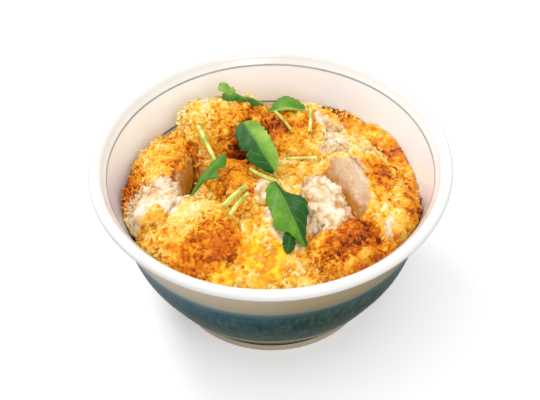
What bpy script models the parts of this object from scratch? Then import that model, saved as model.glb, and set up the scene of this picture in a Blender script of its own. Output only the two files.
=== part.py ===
"""A katsudon: pork cutlets and soft egg heaped over rice in a deep bowl, with leaves and stems on top.

Metres, +Z up. The origin is the centre of the foot ring, on the table. The camera side of the bowl is -Y.
"""

import math

import bmesh
import bpy
from mathutils import Euler, Matrix, Vector, noise
from mathutils.bvhtree import BVHTree

MM = 0.001
SHARP_ANGLE = 40.0

# The bowl, in millimetres: radius from the axis and height above the table.
SIDES = 60
FOOT_RADIUS = 50.0
FOOT_WIDTH = 4.6
FOOT_ROUNDING = 0.7
FOOT_CHAMFER = 1.5
RECESS_HEIGHT = 6.0
FLOOR_HEIGHT = 11.0
OUTER_WALL = (
    (50.1, 5.0),
    (57.5, 13.9),
    (63.7, 23.5),
    (70.6, 36.1),
    (75.3, 50.9),
    (80.2, 65.7),
    (82.9, 75.6),
)
INNER_WALL = (
    (80.9, 78.3),
    (77.6, 69.4),
    (73.6, 59.1),
    (68.4, 46.6),
    (60.6, 33.4),
    (48.6, 21.6),
    (30.0, 13.6),
)
# The lip is a flat round that leans outwards: its long half, its short half and how far it leans.
LIP_CENTRE = (86.3, 80.5)
LIP_HALF_LENGTH = 4.2
LIP_HALF_THICKNESS = 3.0
LIP_LEAN = math.radians(45.0)
LIP_FIRST_ANGLE = -155.0
LIP_LAST_ANGLE = 125.0
LIP_STEPS = 8

# The fill: where the food meets the wall, and how far it heaps up in the middle.
FILL_LEVEL = 58.4
FILL_RADIUS = 73.0
FILL_CLEARANCE = 0.4
# A wall that is moved in by a distance also rises by this share of it, because it leans outwards.
INSET_RISE = 0.6
HEAP_RISE = 17.0
HEAP_ROUNDING = 2.4
HEAP_RINGS = 11
HEAP_RING_SPACING = 1.05
HEAP_SIDES = 48
# The uneven egg fades out towards the wall by this power, so that it never reaches into the bowl.
EDGE_FADE = 8
DEEPEST_HOLLOW = 3.0
EGG_RELIEF = 2.2
EGG_GRAIN = 7.0
EGG_SEED = 3.0
# The bed follows the wall up to this far below the fill level.
BED_SHOULDER = 8.0
GAP = 0.4
# Boolean edges shorter than this, in metres, are closed up.
SLIVER = 2e-5
# A height in millimetres that is above all the food.
ABOVE_ALL = 110.0

# Where the egg stands higher than the even heap, and the hollows that the cutlets lie in.
# Each is its centre from the bowl's axis, its reach and its height, in millimetres.
EGG_RISES = (
    (2, -36, 17, 4.0),
    (4, -12, 12, 4.0),
    (24, 8, 10, 3.0),
    (12, -52, 12, 3.0),
)
HOLLOWS = (
    (-52, 10, 20, -12.0),
    (-54, -12, 16, -10.0),
    (-24, 38, 22, -14.0),
    (16, 32, 19, -13.0),
    (-20, -6, 13, -7.0),
    (-38, -33, 20, -15.0),
    (37, -40, 18, -14.0),
    (44, 6, 22, -14.0),
    (52, -18, 20, -12.0),
    (-17, 16, 8, -6.0),
    (0, 66, 26, -8.0),
)

# How each kind of lump is formed: how boxy it is, its relief, and its faces around and along.
CRUST_FORM = (2.8, 1.7, 18, 13)
CORE_FORM = (2.6, 0.5, 12, 9)
SLICE_FORM = (2.6, 2.0, 16, 12)
EGG_FORM = (2.2, 1.2, 12, 8)
# The crags are two sizes of noise: coarse ones, and finer ones that are half as deep.
COARSE_CRAG = 6.5
FINE_CRAG = 3.0

# The end slices: centre, half sizes, turn in degrees, crust, a point on the cut, the way it faces, seed.
PORK_BULGE = 0.7
END_SLICES = (
    ("left", (-54, 2.5, 64), (34, 18, 12), (-30, 0, 84), 2.0, (-44, 4, 74), (0.80, -0.16, 0.58), 1),
    ("right", (46, -2, 66), (41, 21, 14), (-26, 0, -64), 2.4, (35, -2, 73), (-0.50, -0.20, 0.84), 2),
)
# The slices with crust all round: centre, half sizes, turn in degrees, seed.
WHOLE_SLICES = (
    ("cutlet_back_left", (-23, 40, 71), (23, 17, 14), (20, -4, 4), 3),
    ("cutlet_back_right", (16, 33, 69), (21, 19, 12), (14, 4, -8), 4),
    ("cutlet_middle", (-17, -6, 67), (20, 12, 11), (8, 6, -62), 5),
    ("cutlet_front_left", (-37, -34, 62), (25, 22, 14), (20, 6, -28), 6),
    ("cutlet_front_right", (37, -41, 61), (23, 15, 14), (26, -4, 22), 7),
)
# Patches of set white and yolk: centre, half sizes, turn in degrees, seed.
EGG_PATCHES = (
    ("egg_white_left", (-57, -17, 73), (14, 12, 5.0), (-28, 0, 74), 11),
    ("egg_white_centre", (27, -22, 73), (20, 11, 7.0), (-12, 6, -72), 12),
    ("egg_white_small", (-1, -16, 78), (9, 5.5, 4.0), (0, 0, -70), 13),
    ("yolk_back", (57, 39, 60.5), (14, 7.5, 4.0), (4, 0, -46), 14),
    ("yolk_front", (-26, -58, 61), (9, 5.5, 3.6), (20, 0, -18), 15),
)

# The leaves: base, tip, arch, fold, roll in degrees, then stations along the leaf.
# Each station is a share of the length, then the right and the left half width there.
LEAF_STEPS = 10
LEAF_LANES = 4
LEAF_THICKNESS = 0.45
LEAF_CLEARANCE = 0.6
LEAF_REACH = 1.8
LEAF_TOOTH = 0.05
LEAF_WAVE = 0.5
# A leaf that rests on one point lifts the parts round it too, by this share at each step away.
LEAF_STIFFNESS = 0.86
LEAF_PASSES = 3
LEAVES = (
    (
        "leaf_centre",
        (2, -4, 81),
        (-13, 27, 86),
        3.0,
        -1.5,
        -12,
        (
            (0, 1, 1),
            (0.12, 4.5, 5),
            (0.25, 6.8, 8.3),
            (0.5, 7.5, 9.8),
            (0.75, 7.8, 8),
            (0.9, 6.4, 6.8),
            (1, 2, 3),
        ),
    ),
    (
        "leaf_front",
        (2, -13, 82),
        (16, -50, 75),
        3.0,
        -1.5,
        10,
        (
            (0, 3, 1),
            (0.12, 7.4, 2),
            (0.25, 8.5, 4),
            (0.4, 9, 10.5),
            (0.6, 10.5, 8.5),
            (0.75, 6.5, 4.8),
            (1, 0.6, 0.6),
        ),
    ),
    (
        "leaf_left",
        (-39, -16, 77),
        (-22, 6, 84),
        1.5,
        -0.5,
        0,
        (
            (0, 0.6, 0.6),
            (0.35, 1.2, 1.9),
            (0.5, 6.2, 2),
            (0.62, 2.6, 2.1),
            (0.75, 4.8, 2.2),
            (0.9, 3.4, 2.2),
            (1, 1, 1),
        ),
    ),
    (
        "leaf_back_left",
        (-3, 47, 84),
        (-24, 51, 87),
        -1.5,
        -1.0,
        0,
        ((0, 0.6, 0.8), (0.2, 1.5, 5), (0.5, 1.5, 5.2), (0.75, 2, 5.2), (0.9, 3, 4.5), (1, 1, 1.5)),
    ),
    (
        "leaf_back_right",
        (18, 39, 82),
        (0, 39, 82),
        3.5,
        -1.0,
        -10,
        ((0, 3, 0.6), (0.2, 6.5, 0.8), (0.5, 8.2, 0.9), (0.75, 7.5, 0.9), (1, 1.5, 0.6)),
    ),
)
# The stems: thickness, then the line that each lies on.
STEMS = (
    ("stem_left", 2.2, ((-36, 29, 82), (-31, 15, 82), (-27, 3, 82))),
    ("stem_back", 1.9, ((3, 38, 82), (7, 32, 81), (12, 25, 80))),
    ("stem_back_right", 1.8, ((21, 40, 82), (21, 33, 81), (20, 25, 80))),
    ("stem_right", 1.3, ((8, 4, 82), (15, 6, 81), (23, 6, 80))),
    ("stem_centre", 1.8, ((-10, -3, 82), (-5, -8, 82), (3, -11, 81))),
    ("stem_front", 2.3, ((-12, -15, 82), (-18, -20, 81), (-23, -26, 79))),
    ("stem_front_thin", 1.7, ((-11, -19, 81), (-16, -24, 80), (-20, -31, 78))),
)

FOOD_COLOURS = {
    "glaze": ((0.86, 0.85, 0.82), 0.12),
    "egg": ((0.93, 0.62, 0.16), 0.35),
    "egg_white": ((0.93, 0.86, 0.76), 0.3),
    "yolk": ((0.95, 0.55, 0.05), 0.22),
    "crust": ((0.80, 0.42, 0.10), 0.6),
    "pork": ((0.80, 0.62, 0.48), 0.45),
    "leaf": ((0.08, 0.27, 0.06), 0.4),
    "stem": ((0.55, 0.62, 0.18), 0.4),
}


def clear_scene():
    for thing in list(bpy.data.objects):
        bpy.data.objects.remove(thing, do_unlink=True)


def make_material(name):
    colour, roughness = FOOD_COLOURS[name]
    material = bpy.data.materials.new(name)
    material.use_nodes = True
    shader = material.node_tree.nodes["Principled BSDF"]
    shader.inputs["Base Color"].default_value = (*colour, 1.0)
    shader.inputs["Roughness"].default_value = roughness
    shader.inputs["Metallic"].default_value = 0.0
    material.diffuse_color = (*colour, 1.0)
    return material


def add_object(name, mesh_data, material):
    mesh = bpy.data.meshes.new(name)
    mesh_data.to_mesh(mesh)
    mesh_data.free()
    thing = bpy.data.objects.new(name, mesh)
    bpy.context.scene.collection.objects.link(thing)
    if material:
        mesh.materials.append(material)
    mesh.shade_smooth()
    mesh.set_sharp_from_angle(angle=math.radians(SHARP_ANGLE))
    return thing


def add_guide(name, mesh_data):
    """A shape that only cuts others: the render and the finished part leave it out."""
    guide = add_object(name, mesh_data, None)
    guide.hide_render = True
    guide.display_type = "WIRE"
    return guide


def turned(profile, sides):
    """A closed solid of revolution from a profile of (radius, height) that starts and ends on the axis."""
    shape = bmesh.new()
    corners = [shape.verts.new((radius * MM, 0.0, height * MM)) for radius, height in profile]
    for a, b in zip(corners, corners[1:]):
        shape.edges.new((a, b))
    bmesh.ops.spin(
        shape,
        geom=shape.verts[:] + shape.edges[:],
        cent=(0, 0, 0),
        axis=(0, 0, 1),
        angle=math.tau,
        steps=sides,
        use_merge=True,
    )
    bmesh.ops.remove_doubles(shape, verts=shape.verts, dist=1e-6)
    bmesh.ops.recalc_face_normals(shape, faces=shape.faces)
    return shape


def inner_wall(inset):
    """The inside of the bowl from the floor's centre up to the lip, moved in by inset."""
    floor = [(0.0, FLOOR_HEIGHT + inset)]
    return floor + [(radius - inset, height + INSET_RISE * inset) for radius, height in INNER_WALL[::-1]]


def make_bowl(material):
    inner_foot = FOOT_RADIUS - FOOT_WIDTH
    foot = [
        (0.0, RECESS_HEIGHT),
        (inner_foot - FOOT_CHAMFER, RECESS_HEIGHT),
        (inner_foot, RECESS_HEIGHT - FOOT_CHAMFER),
        (inner_foot, FOOT_ROUNDING),
        (inner_foot + FOOT_ROUNDING, 0.0),
        (FOOT_RADIUS - FOOT_ROUNDING, 0.0),
        (FOOT_RADIUS, FOOT_ROUNDING),
    ]
    lip = []
    for k in range(LIP_STEPS + 1):
        angle = math.radians(LIP_FIRST_ANGLE + (LIP_LAST_ANGLE - LIP_FIRST_ANGLE) * k / LIP_STEPS)
        along = LIP_HALF_LENGTH * math.cos(angle)
        across = LIP_HALF_THICKNESS * math.sin(angle)
        radius = LIP_CENTRE[0] + along * math.cos(LIP_LEAN) - across * math.sin(LIP_LEAN)
        height = LIP_CENTRE[1] + along * math.sin(LIP_LEAN) + across * math.cos(LIP_LEAN)
        lip.append((radius, height))
    profile = [*foot, *OUTER_WALL, *lip, *INNER_WALL, (0.0, FLOOR_HEIGHT)]
    return add_object("bowl", turned(profile, SIDES), material)


def bump(x, y, place):
    """A round rise or dip of the egg. A place is its centre, its reach and its height."""
    across, back, reach, height = place
    return height * math.exp(-((x - across) ** 2 + (y - back) ** 2) / reach**2)


def heap_height(x, y):
    """How high the soft egg stands at a place, in millimetres."""
    part = min(1.0, math.hypot(x, y) / FILL_RADIUS)
    free = 1.0 - part**EDGE_FADE
    height = FILL_LEVEL + HEAP_RISE * (1.0 - part**HEAP_ROUNDING)
    uneven = sum(bump(x, y, place) for place in EGG_RISES + HOLLOWS)
    uneven += EGG_RELIEF * noise.noise(Vector((x, y, EGG_SEED)) / EGG_GRAIN)
    return max(height + free * uneven, FILL_LEVEL - free * DEEPEST_HOLLOW)


def make_bed(material):
    """The rice and egg below and between the cutlets, as one solid down to the floor of the bowl."""
    wall = [place for place in inner_wall(FILL_CLEARANCE) if place[1] < FILL_LEVEL - BED_SHOULDER]
    edge = INNER_WALL[2][0] - FILL_CLEARANCE - GAP
    rings = []
    for k in range(HEAP_RINGS + 1):
        rings.append((edge * (1 - (k / HEAP_RINGS) ** HEAP_RING_SPACING), FILL_LEVEL))
    shape = turned(wall + rings, HEAP_SIDES)
    for vertex in shape.verts:
        if vertex.co.z > (FILL_LEVEL - 0.01) * MM:
            vertex.co.z = heap_height(vertex.co.x / MM, vertex.co.y / MM) * MM
    bmesh.ops.triangulate(shape, faces=shape.faces)
    bmesh.ops.recalc_face_normals(shape, faces=shape.faces)
    return add_object("egg_bed", shape, material)


def lump(centre, half, turn, form, seed):
    """A rounded slab: a sphere pushed towards a box, roughened, then turned and placed.

    Its long axis is X before turning. half holds its half sizes, and turn its angles in degrees.
    """
    power, relief, around, along = form
    shape = bmesh.new()
    bmesh.ops.create_uvsphere(shape, u_segments=around, v_segments=along, radius=1.0)
    bmesh.ops.rotate(shape, verts=shape.verts, cent=(0, 0, 0), matrix=Matrix.Rotation(math.pi / 2, 3, "Y"))
    place = Matrix.Translation(Vector(centre) * MM)
    place = place @ Euler([math.radians(angle) for angle in turn], "XYZ").to_matrix().to_4x4()
    for vertex in shape.verts:
        way = vertex.co.normalized()
        size = sum(abs(part) ** power for part in way) ** (-1.0 / power)
        flat = Vector([way[k] * size * half[k] for k in range(3)])
        crag = noise.noise(flat / COARSE_CRAG + Vector((seed, 0, 0)))
        crag += 0.5 * noise.noise(flat / FINE_CRAG + Vector((0, seed, 0)))
        vertex.co = (flat + way * relief * crag) * MM
    shape.transform(place)
    bmesh.ops.triangulate(shape, faces=shape.faces)
    bmesh.ops.recalc_face_normals(shape, faces=shape.faces)
    return shape


def cut_flat(shape, point, facing):
    """Cuts the shape off at a plane and closes it with a flat face."""
    cut = bmesh.ops.bisect_plane(
        shape,
        geom=shape.verts[:] + shape.edges[:] + shape.faces[:],
        dist=1e-7,
        plane_co=Vector(point) * MM,
        plane_no=Vector(facing),
        clear_outer=True,
    )
    rim = [part for part in cut["geom_cut"] if isinstance(part, bmesh.types.BMEdge)]
    bmesh.ops.holes_fill(shape, edges=rim, sides=0)
    bmesh.ops.triangulate(shape, faces=shape.faces)
    bmesh.ops.recalc_face_normals(shape, faces=shape.faces)
    return shape


def grown(thing, by):
    """A hidden copy of a piece that is a little larger all round, to cut the room that it needs."""
    shape = bmesh.new()
    shape.from_mesh(thing.data)
    shape.normal_update()
    moves = [vertex.normal * by * MM for vertex in shape.verts]
    for vertex, move in zip(shape.verts, moves):
        vertex.co += move
    return add_guide(thing.name + "_room", shape)


def boolean_result(thing, other, operation, solver):
    """What a Boolean makes of a piece, and whether that is closed."""
    modifier = thing.modifiers.new("cut", "BOOLEAN")
    modifier.operation = operation
    modifier.solver = solver
    modifier.object = other
    graph = bpy.context.evaluated_depsgraph_get()
    result = bpy.data.meshes.new_from_object(thing.evaluated_get(graph))
    thing.modifiers.remove(modifier)
    shape = bmesh.new()
    shape.from_mesh(result)
    bpy.data.meshes.remove(result)
    keep_largest_body(shape)
    closed = len(shape.faces) > 0 and all(edge.is_manifold for edge in shape.edges)
    return shape, closed


def boolean(thing, other, operation):
    """Applies a Boolean, then keeps the largest closed body that it leaves."""
    shape, closed = boolean_result(thing, other, operation, "EXACT")
    if not closed:
        shape.free()
        shape, closed = boolean_result(thing, other, operation, "MANIFOLD")
    tidied = shape.copy()
    bmesh.ops.dissolve_degenerate(tidied, edges=tidied.edges, dist=SLIVER)
    bmesh.ops.triangulate(tidied, faces=tidied.faces)
    if all(edge.is_manifold for edge in tidied.edges):
        shape, tidied = tidied, shape
    shape.to_mesh(thing.data)
    shape.free()
    tidied.free()


def keep_largest_body(shape):
    bodies = []
    unseen = set(shape.verts)
    while unseen:
        body = {unseen.pop()}
        front = list(body)
        while front:
            vertex = front.pop()
            for edge in vertex.link_edges:
                other = edge.other_vert(vertex)
                if other not in body:
                    body.add(other)
                    front.append(other)
        unseen -= body
        bodies.append(body)
    bodies.sort(key=len)
    for body in bodies[:-1]:
        bmesh.ops.delete(shape, geom=list(body), context="VERTS")


def fit(piece, neighbours):
    """Cuts from a piece the room that its neighbours take."""
    for neighbour in neighbours:
        room = grown(neighbour, GAP)
        boolean(piece, room, "DIFFERENCE")
        bpy.data.objects.remove(room, do_unlink=True)


def make_cavity():
    """The room inside the bowl, as a guide that keeps the food clear of the wall."""
    wall = inner_wall(FILL_CLEARANCE)
    top = [(wall[-1][0], ABOVE_ALL), (0.0, ABOVE_ALL)]
    return add_guide("bowl_room", turned(wall + top, SIDES))


def end_slice(side, centre, half, turn, crust, cut_at, facing, seed, materials, cavity, bed):
    """The end slice of a cutlet: a shell of crust, open where the knife went, and the pork that fills it."""
    core_half = [size - crust for size in half]
    whole_half = [size + GAP for size in half]
    shell = add_object("crust_" + side, lump(centre, half, turn, CRUST_FORM, seed), materials["crust"])
    pork = add_object("pork_" + side, lump(centre, core_half, turn, CORE_FORM, seed), materials["pork"])
    whole = add_guide("slice_" + side, lump(centre, whole_half, turn, CRUST_FORM, seed))
    room = grown(pork, GAP)
    for thing, bulge in ((shell, 0.0), (pork, PORK_BULGE), (whole, PORK_BULGE)):
        shape = bmesh.new()
        shape.from_mesh(thing.data)
        cut_flat(shape, Vector(cut_at) + Vector(facing).normalized() * bulge, facing)
        shape.to_mesh(thing.data)
        shape.free()
    for thing in (shell, pork):
        fit(thing, [bed])
        boolean(thing, cavity, "INTERSECT")
    boolean(shell, room, "DIFFERENCE")
    bpy.data.objects.remove(room, do_unlink=True)
    return [shell, pork], whole


def make_cutlets(materials, cavity, bed):
    """Two end slices that show their pork, and five slices that are crust all round."""
    pieces = []
    taken = []
    for values in END_SLICES:
        made, whole = end_slice(*values, materials, cavity, bed)
        pieces += made
        taken.append(whole)
    for name, centre, half, turn, seed in WHOLE_SLICES:
        piece = add_object(name, lump(centre, half, turn, SLICE_FORM, seed), materials["crust"])
        fit(piece, [*taken, bed])
        boolean(piece, cavity, "INTERSECT")
        pieces.append(piece)
        taken.append(piece)
    return pieces, taken


def make_egg(materials, cavity, bed, taken):
    """The set white and the yolk that lie on the heap in patches of their own."""
    made = []
    for name, centre, half, turn, seed in EGG_PATCHES:
        material = materials["yolk" if name.startswith("yolk") else "egg_white"]
        piece = add_object(name, lump(centre, half, turn, EGG_FORM, seed), material)
        fit(piece, [*taken, *made, bed])
        boolean(piece, cavity, "INTERSECT")
        made.append(piece)
    return made


def surface_of(things):
    """One search tree over all these pieces, for finding the top of the heap."""
    corners = []
    faces = []
    for thing in things:
        mesh = thing.to_mesh()
        mesh.calc_loop_triangles()
        first = len(corners)
        corners += [vertex.co.copy() for vertex in mesh.vertices]
        faces += [[first + k for k in triangle.vertices] for triangle in mesh.loop_triangles]
        thing.to_mesh_clear()
    return BVHTree.FromPolygons(corners, faces)


def support(tree, point, reach):
    """The highest food within reach of a point, in metres."""
    highest = 0.0
    offsets = (-reach, -0.5 * reach, 0.0, 0.5 * reach, reach)
    down = Vector((0, 0, -1))
    for across in offsets:
        for back in offsets:
            hit = tree.ray_cast(Vector((point.x + across, point.y + back, ABOVE_ALL * MM)), down)[0]
            if hit:
                highest = max(highest, hit.z)
    return highest


def at_station(stations, part):
    """The two half widths of a leaf at a part of its length, between the stations on each side of it."""
    for first, last in zip(stations, stations[1:]):
        if part <= last[0]:
            share = (part - first[0]) / (last[0] - first[0])
            return [first[k] + share * (last[k] - first[k]) for k in (1, 2)]
    return list(stations[-1][1:])


def make_leaf(leaf, material, tree):
    """A thin wavy leaf from its base to its tip, arched along its rib and folded a little across it."""
    name, base, tip, arch, fold, roll, stations = leaf
    base = Vector(base)
    along = Vector(tip) - base
    side = Vector((0, 0, 1)).cross(along).normalized()
    side.rotate(Matrix.Rotation(math.radians(roll), 3, along))
    up = along.cross(side).normalized()
    shape = bmesh.new()
    bmesh.ops.create_grid(shape, x_segments=LEAF_STEPS, y_segments=LEAF_LANES, size=1.0)
    bmesh.ops.triangulate(shape, faces=shape.faces)
    for vertex in shape.verts:
        part = 0.5 + 0.5 * vertex.co.x
        lane = vertex.co.y
        right, left = at_station(stations, part)
        across = lane * (left if lane > 0 else right)
        if abs(lane) > 1.0 - 1.0 / LEAF_LANES:
            across *= 1.0 - LEAF_TOOTH * (1.0 - math.cos(part * LEAF_STEPS * math.pi))
        wave = LEAF_WAVE * math.sin(9 * part + 3 * lane)
        rise = arch * 4 * part * (1 - part) + fold * abs(lane) ** 1.5 + wave
        vertex.co = (base + along * part + side * across + up * rise) * MM
    lifts = {}
    for vertex in shape.verts:
        lifts[vertex] = support(tree, vertex.co, LEAF_REACH * MM) + LEAF_CLEARANCE * MM - vertex.co.z
    for _ in range(LEAF_PASSES):
        spread = {}
        for vertex in shape.verts:
            beside = [LEAF_STIFFNESS * lifts[edge.other_vert(vertex)] for edge in vertex.link_edges]
            spread[vertex] = max(lifts[vertex], *beside)
        lifts = spread
    for vertex in shape.verts:
        vertex.co.z += max(0.0, lifts[vertex])
    thing = add_object(name, shape, material)
    wall = thing.modifiers.new("thickness", "SOLIDIFY")
    wall.thickness = LEAF_THICKNESS * MM
    wall.offset = 1.0
    return thing


def make_stem(stem, material, tree):
    """A cut length of stem: a round tube over a bent line that rests on the heap."""
    name, thickness, route = stem
    places = [Vector(place) * MM for place in route]
    middles = [(a + b) / 2 for a, b in zip(places, places[1:])]
    line = [places[0], *middles, places[-1]]
    radius = 0.5 * thickness * MM
    lift = 0.0
    for place in line:
        lift = max(lift, support(tree, place, radius) + radius + GAP * MM - place.z)
    curve = bpy.data.curves.new(name, "CURVE")
    curve.dimensions = "3D"
    curve.bevel_depth = radius
    curve.bevel_resolution = 1
    curve.use_fill_caps = True
    spline = curve.splines.new("POLY")
    spline.points.add(len(line) - 1)
    for point, place in zip(spline.points, line):
        point.co = (place.x, place.y, place.z + lift, 1.0)
    curve.materials.append(material)
    thing = bpy.data.objects.new(name, curve)
    bpy.context.scene.collection.objects.link(thing)
    return thing


def main():
    clear_scene()
    materials = {name: make_material(name) for name in FOOD_COLOURS}
    make_bowl(materials["glaze"])
    cavity = make_cavity()
    bed = make_bed(materials["egg"])
    cutlets, taken = make_cutlets(materials, cavity, bed)
    egg = make_egg(materials, cavity, bed, taken)
    tree = surface_of([bed, *cutlets, *egg])
    stems = [make_stem(stem, materials["stem"], tree) for stem in STEMS]
    tree = surface_of([bed, *cutlets, *egg, *stems])
    for leaf in LEAVES:
        make_leaf(leaf, materials["leaf"], tree)


main()
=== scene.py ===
# %% [markdown]
# # A katsudon, dressed for the table
# The frame holds the plain solids: a turned bowl, slices of fried pork, soft egg and a few leaves.
# This lesson gives each of them its real surface.

import math
import random

import bmesh
import bpy
import numpy as np
from mathutils import Matrix, Vector, noise
from mathutils.bvhtree import BVHTree


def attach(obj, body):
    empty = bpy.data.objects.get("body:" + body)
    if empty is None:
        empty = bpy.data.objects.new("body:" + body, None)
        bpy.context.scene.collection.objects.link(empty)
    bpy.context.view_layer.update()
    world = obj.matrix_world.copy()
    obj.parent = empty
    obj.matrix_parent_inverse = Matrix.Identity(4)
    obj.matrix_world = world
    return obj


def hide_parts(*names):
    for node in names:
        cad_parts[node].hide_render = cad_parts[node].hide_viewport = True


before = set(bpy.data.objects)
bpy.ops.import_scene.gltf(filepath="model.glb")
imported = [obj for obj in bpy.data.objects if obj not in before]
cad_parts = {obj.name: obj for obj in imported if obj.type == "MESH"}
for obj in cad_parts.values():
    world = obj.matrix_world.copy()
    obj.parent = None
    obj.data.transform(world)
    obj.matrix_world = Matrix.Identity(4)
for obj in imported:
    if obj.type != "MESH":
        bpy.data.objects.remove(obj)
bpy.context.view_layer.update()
MM = 0.001
# The noise functions start from the clock unless they get a seed, and then no two runs would agree.
noise.seed_set(7)

# %% [markdown]
# ## The camera
# The picture looks down on the bowl at 44 degrees through a long lens. A camera's matrix has its right,
# up and back directions as columns, so we work those out from the angle and set the matrix at once,
# which is more exact than turning the camera by hand.

# %% Camera
ELEVATION = math.radians(44.26)
LEAN = math.radians(-1.06)
DISTANCE = 0.9
TARGET = Vector((-0.51, 0.0, 57.62)) * MM


def place_camera():
    back = Vector((0.0, -math.cos(ELEVATION), math.sin(ELEVATION)))
    level = Vector((1.0, 0.0, 0.0))
    above = back.cross(level)
    right = level * math.cos(LEAN) + above * math.sin(LEAN)
    up = above * math.cos(LEAN) - level * math.sin(LEAN)
    data = bpy.data.cameras.new("camera")
    data.sensor_width = 36.0
    data.lens = 119.59
    camera = bpy.data.objects.new("camera", data)
    matrix = Matrix((right, up, back)).transposed().to_4x4()
    matrix.translation = TARGET + back * DISTANCE
    camera.matrix_world = matrix
    bpy.context.scene.collection.objects.link(camera)
    bpy.context.scene.camera = camera
    return camera


camera = place_camera()
print("camera at", [round(value, 3) for value in camera.matrix_world.translation])

# %% [markdown]
# ## Light and floor
# The bowl stands on white, in the light of one large soft window at the left and behind, with white
# all round. A bright world gives the even part, a wide area lamp for the window gives the direction,
# and a second one in front opens the shadows. The floor is a plain pale sheet. For the eye alone it is
# whiter and glows a little, so it turns white in the picture while its soft shadow stays, and it
# doesn't light the bowl from below too strongly.

# %% Light and floor
def lamp(name, size, power, place, target):
    data = bpy.data.lights.new(name, "AREA")
    data.shape = "DISK"
    data.size = size
    data.energy = power
    light = bpy.data.objects.new(name, data)
    light.location = place
    light.rotation_euler = (Vector(target) - Vector(place)).to_track_quat("-Z", "Y").to_euler()
    bpy.context.scene.collection.objects.link(light)


def light_the_table():
    world = bpy.data.worlds.new("white room")
    world.use_nodes = True
    background = world.node_tree.nodes["Background"]
    background.inputs["Color"].default_value = (1.0, 1.0, 1.0, 1.0)
    background.inputs["Strength"].default_value = 0.84
    scene = bpy.context.scene
    scene.world = world
    scene.view_settings.view_transform = "Standard"
    lamp("window", size=0.42, power=4.8, place=(-0.40, 0.52, 0.80), target=(0.0, 0.0, 0.06))
    lamp("front", size=0.6, power=4.0, place=(0.20, -0.80, 0.75), target=(0.0, 0.0, 0.05))


def lay_floor():
    shape = bmesh.new()
    bmesh.ops.create_grid(shape, x_segments=1, y_segments=1, size=2.0)
    mesh = bpy.data.meshes.new("floor")
    shape.to_mesh(mesh)
    shape.free()
    floor = bpy.data.objects.new("floor", mesh)
    bpy.context.scene.collection.objects.link(floor)
    material = bpy.data.materials.new("white table")
    material.use_nodes = True
    shader = material.node_tree.nodes["Principled BSDF"]
    shader.inputs["Roughness"].default_value = 0.9
    shader.inputs["Specular IOR Level"].default_value = 0.1
    shader.inputs["Emission Color"].default_value = (1.0, 1.0, 1.0, 1.0)
    tree = material.node_tree
    seen = tree.nodes.new("ShaderNodeLightPath").outputs["Is Camera Ray"]
    for socket, unseen_value, seen_value in (("Base Color", 0.5, 0.96), ("Emission Strength", 0.0, 0.14)):
        share = tree.nodes.new("ShaderNodeMapRange")
        share.inputs["To Min"].default_value = unseen_value
        share.inputs["To Max"].default_value = seen_value
        tree.links.new(seen, share.inputs["Value"])
        tree.links.new(share.outputs[0], shader.inputs[socket])
    mesh.materials.append(material)


light_the_table()
lay_floor()

# %% [markdown]
# ## Helpers for materials
# Every finish is made of nodes. Short helpers keep those cells readable: the first turns the usual
# 0 to 255 colour numbers into the linear ones that Blender wants, and each of the others adds one kind
# of node with its values.

# %% Material helpers
def colour(red, green, blue):
    """A colour picked on a screen, as the linear values that a shader takes."""
    values = [part / 255.0 for part in (red, green, blue)]
    return (*[v / 12.92 if v <= 0.04045 else ((v + 0.055) / 1.055) ** 2.4 for v in values], 1.0)


def finish(name):
    """A new material, with its node tree and the shader in it."""
    material = bpy.data.materials.new(name)
    material.use_nodes = True
    return material, material.node_tree, material.node_tree.nodes["Principled BSDF"]


def add(tree, kind, inputs=(), **settings):
    """A new node. inputs maps an input's name or number to a value or to another node's output."""
    node = tree.nodes.new(kind)
    for key, value in settings.items():
        setattr(node, key, value)
    for key, value in dict(inputs).items():
        if isinstance(value, bpy.types.NodeSocket):
            tree.links.new(value, node.inputs[key])
        else:
            node.inputs[key].default_value = value
    return node


def ramp(tree, factor, stops):
    """A colour ramp from (position, red, green, blue) stops."""
    node = add(tree, "ShaderNodeValToRGB", {"Fac": factor})
    band = node.color_ramp.elements
    while len(band) < len(stops):
        band.new(0.5)
    for element, (position, *shade) in zip(band, stops):
        element.position = position
        element.color = colour(*shade)
    return node.outputs["Color"]


def stretched(tree, value, low, high, soft=False, **ends):
    """Stretches value so that low gives 0 and high gives 1, and nothing goes past them."""
    kind = "SMOOTHSTEP" if soft else "LINEAR"
    values = {"Value": value, "From Min": low, "From Max": high, **ends}
    return add(tree, "ShaderNodeMapRange", values, interpolation_type=kind).outputs[0]


def maths(tree, operation, a, b=0.0, c=0.0, clamp=False):
    node = add(tree, "ShaderNodeMath", {0: a, 1: b, 2: c}, operation=operation, use_clamp=clamp)
    return node.outputs[0]


def place_on_object(tree, scale=(1.0, 1.0, 1.0)):
    """Object coordinates, stretched by scale: a pattern on them stays with the piece."""
    coordinates = add(tree, "ShaderNodeTexCoord").outputs["Object"]
    return add(tree, "ShaderNodeMapping", {"Vector": coordinates, "Scale": scale}).outputs["Vector"]


def grain(tree, vector, scale, detail=3.0, rough=0.55):
    """Noise of that scale, per metre."""
    values = {"Vector": vector, "Scale": scale, "Detail": detail, "Roughness": rough}
    return add(tree, "ShaderNodeTexNoise", values).outputs["Fac"]


def attribute(tree, name):
    return add(tree, "ShaderNodeAttribute", attribute_name=name).outputs["Fac"]


def mix(tree, factor, first, second):
    """first where factor is 0 and second where it is 1."""
    node = add(tree, "ShaderNodeMix", data_type="RGBA")
    for key, value in {"Factor": factor, "A": first, "B": second}.items():
        socket = [s for s in node.inputs if s.name == key and (key == "Factor" or s.type == "RGBA")][0]
        if isinstance(value, bpy.types.NodeSocket):
            tree.links.new(value, socket)
        else:
            socket.default_value = value
    return [s for s in node.outputs if s.type == "RGBA"][0]


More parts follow.
